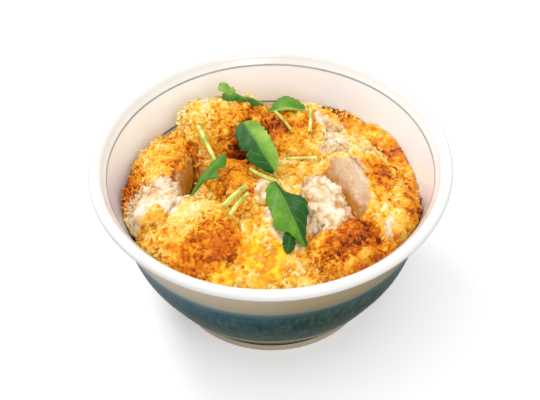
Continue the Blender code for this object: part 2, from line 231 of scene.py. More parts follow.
def bump(tree, shader, height, strength, distance):
    node = add(tree, "ShaderNodeBump", {"Height": height, "Strength": strength, "Distance": distance})
    tree.links.new(node.outputs["Normal"], shader.inputs["Normal"])


print("golden crust in linear values:", [round(value, 3) for value in colour(245, 190, 90)])

# %% [markdown]
# ## Helpers for pieces
# Each finished piece stands for a node of the frame: it rides on the body, hides the plain solid and
# takes its own materials. One helper does all three, so no piece is forgotten.

# %% Piece helpers
def to_piece(name, mesh, material, node=None):
    """An object that rides on the body, shown in place of a plain solid if one is named."""
    for one in material if isinstance(material, list) else [material]:
        mesh.materials.append(one)
    piece = bpy.data.objects.new(name, mesh)
    bpy.context.scene.collection.objects.link(piece)
    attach(piece, "root")
    if node:
        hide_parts(node)
    return piece


def from_shape(name, shape):
    """A smooth mesh from a bmesh, which is then freed."""
    mesh = bpy.data.meshes.new(name)
    shape.to_mesh(mesh)
    shape.free()
    mesh.shade_smooth()
    return mesh


def triangles(mesh):
    mesh.calc_loop_triangles()
    return len(mesh.loop_triangles)


def read(items, name, width):
    """A value of each corner or face of a mesh, one row each."""
    values = np.empty(len(items) * width, dtype=np.float32)
    items.foreach_get(name, values)
    return values.reshape(-1, width)


def corners_of(mesh):
    """The places of a mesh's corners, in millimetres, one row each."""
    return read(mesh.vertices, "co", 3) / MM


def move_corners(mesh, places):
    """Puts a mesh's corners at new places, in millimetres."""
    mesh.vertices.foreach_set("co", (places * MM).astype(np.float32).ravel())
    mesh.update()


def write_values(mesh, name, values):
    """A number for each corner that a material can read by name."""
    layer = mesh.attributes.new(name, "FLOAT", "POINT")
    layer.data.foreach_set("value", np.asarray(values, dtype=np.float32))


print("plain solids:", len(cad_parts))

# %% [markdown]
# ## The bowl
# A potter turns a bowl on a wheel, and so do we: half of its outline goes round the axis with the
# spin operator. The outline runs from the middle of the foot, up the outside, over the lip and down
# the inside. A curve through a few measured places gives it the many points that a smooth glaze needs.
# The lip is a flat round that leans outwards at 45 degrees.

# %% Outline of the bowl
# Each place: distance from the axis and height, in millimetres.
OUTER_WALL = (
    (50.1, 5.0), (57.5, 13.9), (63.7, 23.5), (70.6, 36.1), (75.3, 50.9), (80.2, 65.7), (82.9, 75.6),
)
INNER_WALL = (
    (80.9, 78.3), (77.6, 69.4), (73.6, 59.1), (68.4, 46.6), (60.6, 33.4), (48.6, 21.6), (30.0, 13.6),
)
LIP_CENTRE = (86.25, 80.5)
LIP_HALF = (4.1, 2.9)
LIP_SLANT = math.sqrt(0.5)
# The lip's round starts and ends where it meets the walls, in degrees round its own middle.
LIP_START = -155.0
LIP_SWEEP = 280.0
LIP_STEPS = 24
CURVE_STEPS = 6


def through(points, steps):
    """A smooth curve through places in the plane, with that many steps between each two."""
    ends = [points[0], *points, points[-1]]
    curve = []
    for before, first, last, after in zip(ends, ends[1:], ends[2:], ends[3:]):
        for k in range(steps):
            t = k / steps
            pull = (-0.5 * t + t**2 - 0.5 * t**3, 1 - 2.5 * t**2 + 1.5 * t**3)
            push = (0.5 * t + 2 * t**2 - 1.5 * t**3, -0.5 * t**2 + 0.5 * t**3)
            weighed = list(zip((*pull, *push), (before, first, last, after)))
            curve.append(tuple(sum(share * place[i] for share, place in weighed) for i in (0, 1)))
    return [*curve, points[-1]]


def bowl_outline():
    recess = [(0.0, 6.0), (20.0, 6.0), (42.5, 6.0), (44.6, 5.4), (45.4, 3.9), (45.4, 0.9), (45.9, 0.2)]
    ring = [(46.5, 0.0), (49.0, 0.0), (49.6, 0.2), (50.0, 0.9), (50.0, 4.2), (49.6, 4.6)]
    lip = []
    for k in range(LIP_STEPS + 1):
        angle = math.radians(LIP_START + LIP_SWEEP * k / LIP_STEPS)
        along = LIP_SLANT * LIP_HALF[0] * math.cos(angle)
        across = LIP_SLANT * LIP_HALF[1] * math.sin(angle)
        lip.append((LIP_CENTRE[0] + along - across, LIP_CENTRE[1] + along + across))
    floor_line = [(20.0, 11.9), (10.0, 11.2), (0.0, 11.0)]
    outside = recess + ring + through(OUTER_WALL, CURVE_STEPS)
    return outside, lip, through(INNER_WALL, CURVE_STEPS) + floor_line


outside, lip, inside = bowl_outline()
print("outline points:", len(outside), len(lip), len(inside))

# %% [markdown]
# ## The glaze
# White glaze covers the bowl, and three lines are painted on it: two thin grey rings inside, and a
# broad teal band outside that a loaded brush left in streaks while the bowl turned. All of them go
# round the axis, so their place depends on height alone. The streaks come from noise that is squeezed
# in height, because a brush that stands still on a turning wheel draws level lines.

# %% Glaze
# Each ring: its height and half its width in millimetres, and how strongly it is painted.
GREY_LINES = ((78.2, 0.42, 0.75), (59.1, 0.5, 0.95))
BAND_MIDDLE = 38.0
BAND_HALF = 16.5
# Up the outside, in tenths of a metre: the band's colour at the right of the dish, then at its left.
# The left is painted lighter and bluer, as lit from the window, and the right darker, as in shade;
# the pale glaze under the lip is painted as a shaded beige.
BAND_LIT_AND_SHADED = (
    (0.220, (38, 56, 42), (70, 86, 78)),
    (0.300, (24, 44, 32), (60, 82, 82)),
    (0.440, (14, 40, 32), (34, 76, 96)),
    (0.520, (24, 58, 58), (52, 96, 118)),
    (0.560, (70, 94, 90), (120, 138, 144)),
    (0.585, (140, 134, 108), (190, 178, 162)),
    (0.640, (162, 144, 106), (206, 190, 170)),
    (0.720, (172, 156, 122), (214, 200, 182)),
    (0.785, (240, 238, 232), (244, 242, 237)),
)
# Up the foot, in fortieths of a metre: bare clay, a dark line, a pale line and the band's dark edge.
FOOT_SHADES = (
    (0.000, 190, 174, 152),
    (0.165, 178, 162, 136),
    (0.172, 10, 16, 12),
    (0.700, 16, 26, 18),
    (0.730, 168, 168, 144),
    (0.850, 146, 150, 124),
    (0.900, 36, 54, 42),
)


def line_at(tree, height, centre, half):
    """1 on a painted ring and 0 off it, by height in metres."""
    away = maths(tree, "ABSOLUTE", maths(tree, "SUBTRACT", height, centre * MM))
    return stretched(tree, away, half * 1.3 * MM, half * 0.7 * MM, soft=True)


def white_glaze():
    material, tree, shader = finish("white glaze")
    place = place_on_object(tree)
    height = add(tree, "ShaderNodeSeparateXYZ", {"Vector": place}).outputs["Z"]
    up = maths(tree, "MULTIPLY", height, 10.0)
    # The inside is painted a little bluer against the warm light that the food throws on it, and the lip a
    # little greyer against the strong light on top of it.
    shade = ramp(tree, up, [(0.60, 240, 248, 255), (0.76, 248, 251, 255), (0.82, 233, 232, 228)])
    wobble = maths(tree, "MULTIPLY_ADD", grain(tree, place, 14.0), 0.0009, -0.00045)
    wavy = maths(tree, "ADD", height, wobble)
    for centre, half, weight in GREY_LINES:
        strength = maths(tree, "MULTIPLY", line_at(tree, wavy, centre, half), weight)
        thin = maths(tree, "MULTIPLY_ADD", grain(tree, place, 40.0), 0.9, 0.5, clamp=True)
        shade = mix(tree, maths(tree, "MULTIPLY", strength, thin), shade, colour(98, 112, 120))
    tree.links.new(shade, shader.inputs["Base Color"])
    shader.inputs["Roughness"].default_value = 0.16
    shader.inputs["Specular IOR Level"].default_value = 0.5
    shader.inputs["Coat Weight"].default_value = 0.2
    shader.inputs["Coat Roughness"].default_value = 0.06
    return material


def brushed_glaze():
    material, tree, shader = finish("brushed glaze")
    place = place_on_object(tree)
    axes = add(tree, "ShaderNodeSeparateXYZ", {"Vector": place}).outputs
    height = axes["Z"]
    level_streaks = grain(tree, place_on_object(tree, (14.0, 14.0, 620.0)), 1.0, 4.0, 0.6)
    fine_streaks = grain(tree, place_on_object(tree, (40.0, 40.0, 2400.0)), 1.0, 3.0, 0.6)
    upright_streaks = grain(tree, place_on_object(tree, (420.0, 420.0, 30.0)), 1.0, 3.0, 0.6)
    wavy = maths(tree, "ADD", height, maths(tree, "MULTIPLY_ADD", level_streaks, 0.005, -0.0025))
    up = maths(tree, "MULTIPLY", wavy, 10.0)
    # The band is painted lighter and bluer at the left, lit by the window, and darker at the right, in shade.
    right, left = [ramp(tree, up, [(row[0], *row[side]) for row in BAND_LIT_AND_SHADED]) for side in (1, 2)]
    shade = mix(tree, stretched(tree, axes["X"], 0.02, -0.06), right, left)
    painted = line_at(tree, wavy, BAND_MIDDLE, BAND_HALF)
    crossed = maths(tree, "MULTIPLY", fine_streaks, upright_streaks)
    strokes = maths(tree, "MULTIPLY_ADD", crossed, 5.0, -0.95, clamp=True)
    strokes = maths(tree, "MULTIPLY", maths(tree, "MULTIPLY", strokes, painted), 0.6)
    shade = mix(tree, strokes, shade, colour(86, 116, 104))
    foot = ramp(tree, maths(tree, "MULTIPLY", height, 40.0), FOOT_SHADES)
    shade = mix(tree, stretched(tree, height, 0.0222, 0.0228), foot, shade)
    tree.links.new(shade, shader.inputs["Base Color"])
    shader.inputs["Roughness"].default_value = 0.3
    shader.inputs["Specular IOR Level"].default_value = 0.08
    return material


glazes = [white_glaze(), brushed_glaze()]
print("glazes:", [one.name for one in glazes])

# %% Turning the bowl
BOWL_SIDES = 144
# The brushed glaze ends under the lip, and it covers the foot ring's inner side too.
BRUSHED_TOP = 77.0
FOOT_INSIDE = (6.5, 51.0)


def turn(outline):
    """The outline, spun round the axis."""
    shape = bmesh.new()
    row = [shape.verts.new((radius * MM, 0.0, height * MM)) for radius, height in outline]
    for first, last in zip(row, row[1:]):
        shape.edges.new((first, last))
    bmesh.ops.spin(
        shape,
        geom=shape.verts[:] + shape.edges[:],
        cent=(0, 0, 0),
        axis=(0, 0, 1),
        angle=math.tau,
        steps=BOWL_SIDES,
        use_merge=True,
    )
    bmesh.ops.remove_doubles(shape, verts=shape.verts, dist=1e-6)
    bmesh.ops.recalc_face_normals(shape, faces=shape.faces)
    return shape


def make_bowl():
    shape = turn(outside + lip + inside)
    for face in shape.faces:
        middle = face.calc_center_median() / MM
        radius = math.hypot(middle.x, middle.y)
        facing_out = face.normal.x * middle.x + face.normal.y * middle.y > 0
        under = middle.z < FOOT_INSIDE[0] and radius < FOOT_INSIDE[1]
        face.material_index = 1 if (facing_out and middle.z < BRUSHED_TOP) or under else 0
    return to_piece("bowl_turned", from_shape("bowl_turned", shape), glazes, "bowl")


bowl = make_bowl()
print("bowl triangles:", triangles(bowl.data))

# %% [markdown]
# ## Where the food is pale, golden, white or yellow
# The dish isn't one colour: frying, sauce, egg white and yolk leave places of their own, and each runs
# softly into the next. We paint with touches, which are round brush marks seen from above. One table
# says how deeply fried a place is, from 0 for pale crumb to 1 for dark, sauce-soaked crust, and a few of
# its touches over narrow gaps between pieces paint the shade in them. Two more say where set white and
# where yolk cover it. Every piece of food reads the same tables, so the colour runs on from one piece to
# its neighbour as it does in the real bowl.

# %% Touches of frying, white and yolk
# Each touch: across, back, reach, all in millimetres, then how deeply fried.
FRY_TOUCHES = (
    (-51, 14, 9, 0.38),
    (-60, 14, 8, 0.30),
    (-43, 26, 7, 0.44),
    (-59, 0, 8, 0.30),
    (-47, 4, 6, 0.66),
    (-47, 13, 5, 0.68),
    (-47, -5, 4, 0.60),
    (-40, 21, 4, 0.95),
    (-10, 37, 4, 0.90),
    (-69, 8, 6, 0.78),
    (-70, -4, 6, 0.80),
    (-57, -28, 6, 0.62),
    (-66, -28, 7, 0.35),
    (-52, -42, 9, 0.38),
    (-43, -31, 7, 0.20),
    (-33, -24, 8, 0.12),
    (-28, -36, 8, 0.66),
    (-27, -46, 8, 0.80),
    (-38, -50, 8, 0.72),
    (-22, -50, 6, 0.78),
    (-20, -3, 9, 0.62),
    (-19, -15, 8, 0.58),
    (-10, -8, 6, 0.52),
    (-37, 38, 8, 0.26),
    (-29, 31, 8, 0.36),
    (-27, 49, 8, 0.10),
    (-18, 38, 8, 0.45),
    (-12, 31, 7, 0.55),
    (-34, 26, 7, 0.42),
    (-24, 23, 6, 0.62),
    (-16, 21, 7, 1.05),
    (-4, 24, 6, 0.98),
    (5, 42, 6, 0.60),
    (14, 41, 7, 0.25),
    (13, 32, 7, 0.58),
    (4, 32, 6, 0.95),
    (22, 32, 6, 0.66),
    (13, 24, 6, 0.46),
    (5, 22, 6, 0.50),
    (22, 24, 6, 0.26),
    (30, 26, 6, 0.16),
    (44, 14, 8, 0.16),
    (54, 14, 8, 0.28),
    (52, 1, 8, 0.78),
    (60, 2, 7, 0.66),
    (52, -11, 6, 0.72),
    (57, -5, 4, 0.95),
    (47, -1, 3, 0.1),
    (48, -10, 3, 0.1),
    (48, -19, 3, 0.15),
    (67, -20, 4, 1.05),
    (70, -6, 4, 1.0),
    (60, -12, 7, 0.40),
    (54, -22, 6, 0.40),
    (68, -12, 6, 0.62),
    (69, 4, 6, 0.50),
    (66, -26, 6, 0.60),
    # These two small touches paint the shade in the narrow gap between the front right slice and the rim.
    (51, -38, 2, 1.1),
    (52, -42, 2, 1.3),
    (9, 29, 4, 1.0),
    (19, 30, 3, 0.95),
    (57, -34, 7, 0.30),
    (60, -42, 6, 0.38),
    (43, -41, 7, 0.86),
    (34, -42, 6, 0.78),
    (26, -42, 6, 0.50),
    (34, -50, 7, 0.74),
    (44, -50, 7, 0.88),
    (36, -57, 7, 0.76),
    (24, -54, 6, 0.60),
)
# Each touch: across, back, reach in millimetres, then how much it covers.
WHITE_TOUCHES = (
    (-58, -13, 11, 1.1),
    (-50, -15, 8, 0.9),
    (-64, -22, 7, 0.9),
    (-46, -26, 7, 0.5),
    (-58, -26, 4, -1.3),
    (-55, -31, 4.5, -1.6),
    (-61, -31, 3, -0.8),
    (-24, 51, 5, 0.9),
    (-32, 49, 6, 0.9),
    (14, 44, 5, 0.6),
    (26, 36, 6, 0.6),
    (33, 31, 6, 0.6),
    (30, 20, 7, 0.8),
    (39, 16, 6, 0.6),
    (27, -22, 12, 1.0),
    (24, -34, 6, 0.9),
    (19, -10, 6, 0.8),
    (-1, -15, 6, 1.0),
    (-2, -28, 3, 0.8),
    (1, -36, 3, 0.8),
    (6, -43, 5, 0.9),
    (12, -46, 5, 0.7),
    (-33, -22, 5, 0.35),
    (58, -38, 5, 0.7),
)
YOLK_TOUCHES = (
    (54, 46, 9, 1.0),
    (64, 34, 6, 0.8),
    (68, 15, 5, 0.7),
    (-24, -58, 7, 1.0),
    (-11, -47, 6, 0.9),
    (0, -50, 6, 0.5),
    (-4, -60, 7, 0.6),
    (9, -60, 6, 0.5),
    (-9, -33, 5, 0.5),
    (-33, -31, 5, 0.45),
    (-54, 8, 6, 0.25),
    (10, 7, 6, 0.5),
    (38, 42, 6, 0.6),
    (-28, 36, 6, 0.2),
)
# Far from any touch the food is fried this deeply, and this much of it counts everywhere.
PLAIN_FRY = 0.38
PLAIN_WEIGHT = 0.15


def wavy(places):
    """The same places, shifted a little this way and that, so that round touches get uneven borders."""
    return np.array([place + np.array(noise.noise_vector(Vector(place) / 5.0)) * 2.6 for place in places])


def near(places, table):
    """The weight of each touch at each place: 1 at its middle, fading out with distance."""
    touches = np.array(table, dtype=float)
    away = (places[:, None, 0] - touches[:, 0]) ** 2 + (places[:, None, 1] - touches[:, 1]) ** 2
    return np.exp(-away / touches[:, 2] ** 2), touches[:, 3]


def fry_at(places):
    """How deeply fried the food is at each place, from the touches around it."""
    weight, level = near(places, FRY_TOUCHES)
    total = weight.sum(axis=1)
    return ((weight * level).sum(axis=1) + PLAIN_FRY * PLAIN_WEIGHT) / (total + PLAIN_WEIGHT)


def cover_at(places, table):
    """How far the touches of a table cover each place, from 0 to 1."""
    weight, amount = near(places, table)
    return np.clip((weight * amount).sum(axis=1), 0.0, 1.0)


print("fry in the middle of the front left slice:", fry_at(np.array([[-27.0, -46.0, 70.0]])).round(2))

# %% [markdown]
# ## One skin for crust and egg
# Breadcrumb crust, set egg and yolk share one recipe of nodes. A ramp runs from pale to deeply fried, and
# the painted shade of cracks and gaps moves spots along it too. Noise moves each spot a little up or down
# it, so that one slice shows pale and dark crumbs side by side. White, yolk and bare meat are mixed over
# it where their touches are strong, with a broken border that noise draws. Wet places are smoother and
# so glossier than dry crumb.

# %% Food skin
# From pale crumb to dark crust, then set white, yolk and meat from their darker to their lighter tones.
CRUST_SHADES = (
    (0.00, 244, 232, 196),
    (0.16, 244, 220, 150),
    (0.32, 243, 203, 96),
    (0.48, 240, 174, 42),
    (0.62, 228, 136, 16),
    (0.78, 192, 92, 8),
    (0.90, 150, 66, 10),
    (1.00, 92, 36, 8),
)
WHITE_SHADES = ((0.34, 198, 146, 88), (0.46, 224, 190, 142), (0.62, 242, 228, 206))
YOLK_SHADES = ((0.32, 206, 116, 4), (0.48, 234, 156, 8), (0.62, 252, 206, 44))
MEAT_SHADES = ((0.25, 206, 170, 134), (0.55, 214, 184, 150), (0.8, 222, 198, 170))


def cover(tree, name, noise_level):
    """How far a cover such as egg white lies over the crust, with a border broken by noise."""
    amount = maths(tree, "ADD", attribute(tree, name), maths(tree, "MULTIPLY_ADD", noise_level, 1.0, -0.5))
    return stretched(tree, amount, 0.38, 0.60, soft=True)


def meat_shade(tree):
    """Cut pork: pale beige with fine fibres across the slice, browner where the attribute says so: sauce and
    painted shade.
    """
    fibres = grain(tree, place_on_object(tree, (500.0, 160.0, 160.0)), 1.0, 4.0, 0.6)
    cloud = grain(tree, place_on_object(tree), 150.0)
    meat = ramp(tree, fibres, MEAT_SHADES)
    stained = maths(tree, "MULTIPLY_ADD", cloud, 0.9, -0.5)
    brown_and_shade = maths(tree, "ADD", attribute(tree, "brown_and_shade"), stained, clamp=True)
    return mix(tree, brown_and_shade, meat, colour(170, 106, 8))


def food_skin(name, coat, roughness, soft):
    """The skin of all the food. roughness is that of its dry places, and soft lets light into it."""
    material, tree, shader = finish(name)
    place = place_on_object(tree)
    broad = grain(tree, place, 200.0)
    fine = grain(tree, place, 620.0)
    cloud = grain(tree, place, 120.0, 4.0, 0.6)
    level = maths(tree, "ADD", attribute(tree, "fry_and_shade"), maths(tree, "MULTIPLY_ADD", broad, 0.80, -0.40))
    spot = maths(tree, "ADD", level, maths(tree, "MULTIPLY_ADD", fine, -0.50, 0.25), clamp=True)
    crusty = ramp(tree, spot, CRUST_SHADES)
    burnt = stretched(tree, grain(tree, place, 300.0), 0.60, 0.68)
    burnt = maths(tree, "MULTIPLY", maths(tree, "MULTIPLY", burnt, level, clamp=True), 0.9)
    crusty = mix(tree, burnt, crusty, colour(112, 40, 10))
    white_cover = cover(tree, "white", cloud)
    yolk_cover = cover(tree, "yolk", broad)
    shade = mix(tree, white_cover, crusty, ramp(tree, broad, WHITE_SHADES))
    shade = mix(tree, yolk_cover, shade, ramp(tree, broad, YOLK_SHADES))
    bare = maths(tree, "ADD", attribute(tree, "meat"), maths(tree, "MULTIPLY_ADD", broad, 0.6, -0.3))
    meat_cover = stretched(tree, bare, 0.2, 0.85, soft=True)
    shade = mix(tree, meat_cover, shade, meat_shade(tree))
    tree.links.new(shade, shader.inputs["Base Color"])
    wet = maths(tree, "MAXIMUM", maths(tree, "MAXIMUM", white_cover, yolk_cover), meat_cover)
    rough = stretched(tree, wet, 0.0, 1.0, **{"To Min": roughness, "To Max": 0.28})
    tree.links.new(rough, shader.inputs["Roughness"])
    shader.inputs["Specular IOR Level"].default_value = 0.15
    shader.inputs["Subsurface Weight"].default_value = soft
    shader.inputs["Subsurface Radius"].default_value = (1.0, 0.8, 0.6)
    shader.inputs["Subsurface Scale"].default_value = 0.0012
    shader.inputs["Coat Weight"].default_value = coat
    shader.inputs["Coat Roughness"].default_value = 0.15
    bump(tree, shader, fine, 0.5, 0.0007)
    return material


crust = food_skin("fried crust", coat=0.0, roughness=0.6, soft=0.0)
egg = food_skin("soft egg", coat=0.15, roughness=0.4, soft=0.0)
set_white = food_skin("set white", coat=0.2, roughness=0.36, soft=0.1)
yolk = food_skin("soft yolk", coat=0.3, roughness=0.28, soft=0.1)
pork = food_skin("cut pork", coat=0.15, roughness=0.5, soft=0.1)
print("food finishes:", [one.name for one in (crust, egg, set_white, yolk, pork)])

# %% [markdown]
# ## Working up a plain solid
# The plain slices have large flat facets. A voxel remesh turns a welded copy of one into small even
# squares, which smooth out and can then be pushed along their normals into crags. The remesh is a
# modifier, so we read its result back as a new mesh, and nothing stays live on the finished piece.

# %% Remeshed copies
def welded(node):
    """A copy of a plain solid with its loose triangles joined at their corners."""
    shape = bmesh.new()
    shape.from_mesh(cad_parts[node].data)
    bmesh.ops.remove_doubles(shape, verts=shape.verts, dist=1e-6)
    return shape


def remeshed(node, voxel, smoothing):
    """An even, softened copy of a plain solid. voxel is in millimetres."""
    mesh = from_shape(node + "_fine", welded(node))
    holder = bpy.data.objects.new("holder", mesh)
    bpy.context.scene.collection.objects.link(holder)
    fine = holder.modifiers.new("fine", "REMESH")
    fine.mode = "VOXEL"
    fine.voxel_size = voxel * MM
    soft = holder.modifiers.new("soft", "SMOOTH")
    soft.factor = 0.5
    soft.iterations = smoothing
    graph = bpy.context.evaluated_depsgraph_get()
    result = bpy.data.meshes.new_from_object(holder.evaluated_get(graph))
    bpy.data.objects.remove(holder)
    bpy.data.meshes.remove(mesh)
    result.materials.clear()
    result.name = node + "_fine"
    result.shade_smooth()
    return result


def normals_of(mesh):
    """The directions in which a mesh's corners face, one row each."""
    return read(mesh.vertex_normals, "vector", 3)


def pushed(mesh, amounts):
    """Moves each corner along its normal by an amount in millimetres."""
    move_corners(mesh, corners_of(mesh) + normals_of(mesh) * np.asarray(amounts)[:, None])


def crags(places, seed):
    """Crumbed batter: broad waves and small crags in millimetres, and how near each place is to a tip."""
    shift = Vector((seed * 7.3, seed * 3.1, 0.0))
    broad = np.empty(len(places))
    small = np.empty(len(places))
    tips = np.empty(len(places))
    for k, place in enumerate(places):
        spot = Vector(place)
        bent = spot + 2.4 * noise.noise_vector(spot / 4.0 + shift)
        clump = 0.5 - noise.voronoi(bent / 4.2 + shift)[0][0]
        curl = 0.5 - 2.0 * abs(noise.noise(bent / 2.6 - shift))
        speck = noise.noise(bent / 1.2 + shift)
        shaggy = 0.45 + max(0.0, 0.4 + 1.6 * noise.noise(spot / 12.0 - shift))
        broad[k] = noise.noise(spot / 7.0 + shift)
        small[k] = shaggy * (1.2 * clump + 1.0 * curl + 0.35 * speck)
        tips[k] = 0.5 + shaggy * (0.5 * clump + 0.5 * curl + 0.25 * speck)
    return broad, small, np.clip(tips, 0.0, 1.0)


print("triangles of the plain middle slice:", triangles(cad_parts["cutlet_middle"].data))

# %% [markdown]
# ## Staying inside the bowl
# Crags push outwards, and close to the wall they could push through the glaze. The wall's radius at
# each height is known from the outline, so we hold every corner a little inside it, and under the top
# of the plain solids too.

# %% Holding food off the wall
WALL_HEIGHTS = [height for radius, height in reversed(inside)]
WALL_RADII = [radius for radius, height in reversed(inside)]
# Food starts on the bowl's floor. It and the leaves end under the plain solids' top, at 89.8 mm.
FOOD_FLOOR = 11.5
FOOD_TOP = 88.4
LEAF_TOP = 89.0


def held_inside(mesh, clearance=0.5):
    """Moves corners that reach the wall back towards the axis, and keeps them under the top."""
    places = corners_of(mesh)
    room = np.interp(places[:, 2], WALL_HEIGHTS, WALL_RADII) - clearance
    radius = np.hypot(places[:, 0], places[:, 1])
    share = np.minimum(1.0, room / np.maximum(radius, 1e-6))
    places[:, :2] *= share[:, None]
    places[:, 2] = np.clip(places[:, 2], FOOD_FLOOR, FOOD_TOP)
    move_corners(mesh, places)


print("the wall at 70 mm:", round(float(np.interp(70.0, WALL_HEIGHTS, WALL_RADII)), 1), "mm from the axis")

# %% [markdown]
# ## The fried slices
# Sauce and egg have soaked the crust in places, which calms its crags, and the knife has bared the meat
# along two slices. More touches say where. Each slice is remeshed finely, pushed out into crags and
# painted: shade is painted into its cracks, and its tips are painted paler, partly where light catches
# them and partly because the dry ends of the crumbs stay pale.

# %% Soaked, bare, browned and shaded places
# Each touch: across, back, reach in millimetres, then how much.
CALM_TOUCHES = (
    (-50, 8, 8, 0.7),
    (-50, 18, 7, 0.5),
    (-28, -40, 10, 0.6),
    (42, -44, 10, 0.8),
    (-45, -24, 6, 1.3),
    (-58, 0, 9, 0.5),
    (-56, 15, 8, 0.4),
    (48, -2, 5, 0.9),
    (49, -12, 5, 0.9),
    (49, -22, 5, 0.9),
    (58, -36, 6, 0.6),
    (-20, -4, 8, 0.4),
)
MEAT_TOUCHES = (
    (33, 9, 7, 0.8),
    (38, 1, 8, 1.0),
    (41, -7, 8, 1.0),
    (44, -15, 7, 1.0),
    (44, -22, 6, 1.0),
    (43, -28, 4, 0.6),
    (33, -4, 8, 0.9),
    (36, -14, 7, 0.9),
    (31, 18, 6, -1.2),
    (39, 16, 6, -1.4),
    (52, 0, 6, -1.0),
    (54, -11, 6, -1.0),
    (54, -20, 6, -1.6),
    (53, -29, 6, -1.8),
    (-40, 0, 7, 1.0),
    (-38, 8, 6, 1.0),
    (-36, 15, 5, 0.9),
    (-42, -8, 5, 0.7),
    (-50, 8, 5, -0.6),
)
# These touches darken the meat: the left cut where sauce soaks it, and both cuts as painted shade along their
# borders with the egg and the crust.
BROWN_AND_SHADE_TOUCHES = (
    (26, 8, 7, 1.0),
    (30, -3, 6, 0.9),
    (34, -11, 5, 0.8),
    (38, -18, 5, 0.9),
    (42, -26, 6, 1.2),
    (-37, 12, 9, 1.5),
    (-40, 2, 8, 1.2),
    (-42, -8, 6, 0.7),
)
print("touches of calm, meat and brown:", len(CALM_TOUCHES), len(MEAT_TOUCHES), len(BROWN_AND_SHADE_TOUCHES))


# %% Slices
def fade(values, start, end):
    """0 at start and 1 at end, evenly between them and flat beyond."""
    return np.clip((values - start) / (end - start), 0.0, 1.0)


def paint_food(mesh, places, fry_and_shade, white=0.0, yolk_level=0.0, meaty=False):
    """Writes the values that the food skin reads. White and yolk are added to the touches."""
    places = wavy(places)
    write_values(mesh, "fry_and_shade", np.clip(fry_and_shade, 0.0, 1.0))
    write_values(mesh, "white", np.clip(cover_at(places, WHITE_TOUCHES) + white, 0.0, 1.0))
    write_values(mesh, "yolk", np.clip(cover_at(places, YOLK_TOUCHES) + yolk_level, 0.0, 1.0))
    if meaty:
        write_values(mesh, "meat", cover_at(places, MEAT_TOUCHES))
        write_values(mesh, "brown_and_shade", cover_at(places, BROWN_AND_SHADE_TOUCHES))


def crust_relief(places, seed, coarse, fine):
    """Crag heights and fried levels, with painted shade in cracks and light on tips, calm where soaked."""
    broad, small, tips = crags(places, seed)
    places = wavy(places)
    level = fry_at(places)
    calm = np.clip(0.6 * fade(level, 0.58, 0.83) + cover_at(places, CALM_TOUCHES), 0.0, 0.9)
    crack_shade = 0.58 * (1.0 - 0.7 * calm)
    return coarse * broad + fine * small * (1.0 - calm), level + 0.06 + crack_shade * (0.5 - tips)


SLICES = (
    ("crust_left", 1),
    ("crust_right", 2),
    ("cutlet_back_left", 3),
    ("cutlet_back_right", 4),
    ("cutlet_middle", 5),
    ("cutlet_front_left", 6),
    ("cutlet_front_right", 7),
)


def make_slice(node, seed):
    mesh = remeshed(node, voxel=0.6, smoothing=6)
    places = corners_of(mesh)
    relief, fry_and_shade = crust_relief(places, seed, coarse=1.8, fine=1.3)
    pushed(mesh, relief)
    held_inside(mesh)
    # Lower down, a slice is painted darker, both for the sauce that soaks it and as painted shade.
    soaked_and_shaded_foot = 0.2 * fade(places[:, 2], 64.0, 54.0)
    paint_food(mesh, places, fry_and_shade + soaked_and_shaded_foot, meaty=node.startswith("crust"))
    return to_piece(node + "_fried", mesh, crust, node)


slices = [make_slice(*one) for one in SLICES]
print("slices:", {piece.name: triangles(piece.data) for piece in slices})

# %% [markdown]
# ## Set white and yolk
# The white and the yolk that set on their own lie on the heap as soft mounds with dents. The white in
# the middle is foamy: bubbles left round pits in it, which a cell pattern gives.

# %% White and yolk
def folds(places, seed, size, height):
    """Rounded folds of set egg, in millimetres."""
    heights = np.empty(len(places))
    for k, place in enumerate(places):
        spot = Vector(place)
        fold = noise.noise(spot / size + Vector((seed, 0, 0)))
        knob = abs(noise.noise(spot / (0.45 * size) + Vector((0, seed, 0))))
        heights[k] = height * (fold + 0.9 * knob - 0.2)
    return heights


def pits(places, seed, size, depth):
    """Round pits with walls between them, in millimetres, some deep and some hardly there."""
    heights = np.empty(len(places))
    for k, place in enumerate(places):
        spot = Vector(place) + 1.2 * noise.noise_vector(Vector(place) / 4.0)
        cells = noise.voronoi(spot / size + Vector((seed, seed, 0)))[0]
        wall = min(1.0, (cells[1] - cells[0]) / 0.55)
        heights[k] = -depth * wall * max(0.0, 0.55 + 1.6 * noise.noise(spot / 7.0))
    return heights


# Each mound: its node, skin, slot and seed, the size and height of its folds, and how deep its pits are.
PIT_SIZE = 5.5
MOUNDS = (
    ("egg_white_left", set_white, "egg_white", 21, 9.0, 0.5, 0.0),
    ("egg_white_centre", set_white, "egg_white", 22, 5.0, 1.4, 2.2),
    ("egg_white_small", set_white, "egg_white", 23, 3.0, 0.4, 0.0),
    ("yolk_back", yolk, "yolk", 24, 5.0, 0.8, 0.0),
    ("yolk_front", yolk, "yolk", 25, 4.0, 0.5, 0.0),
)


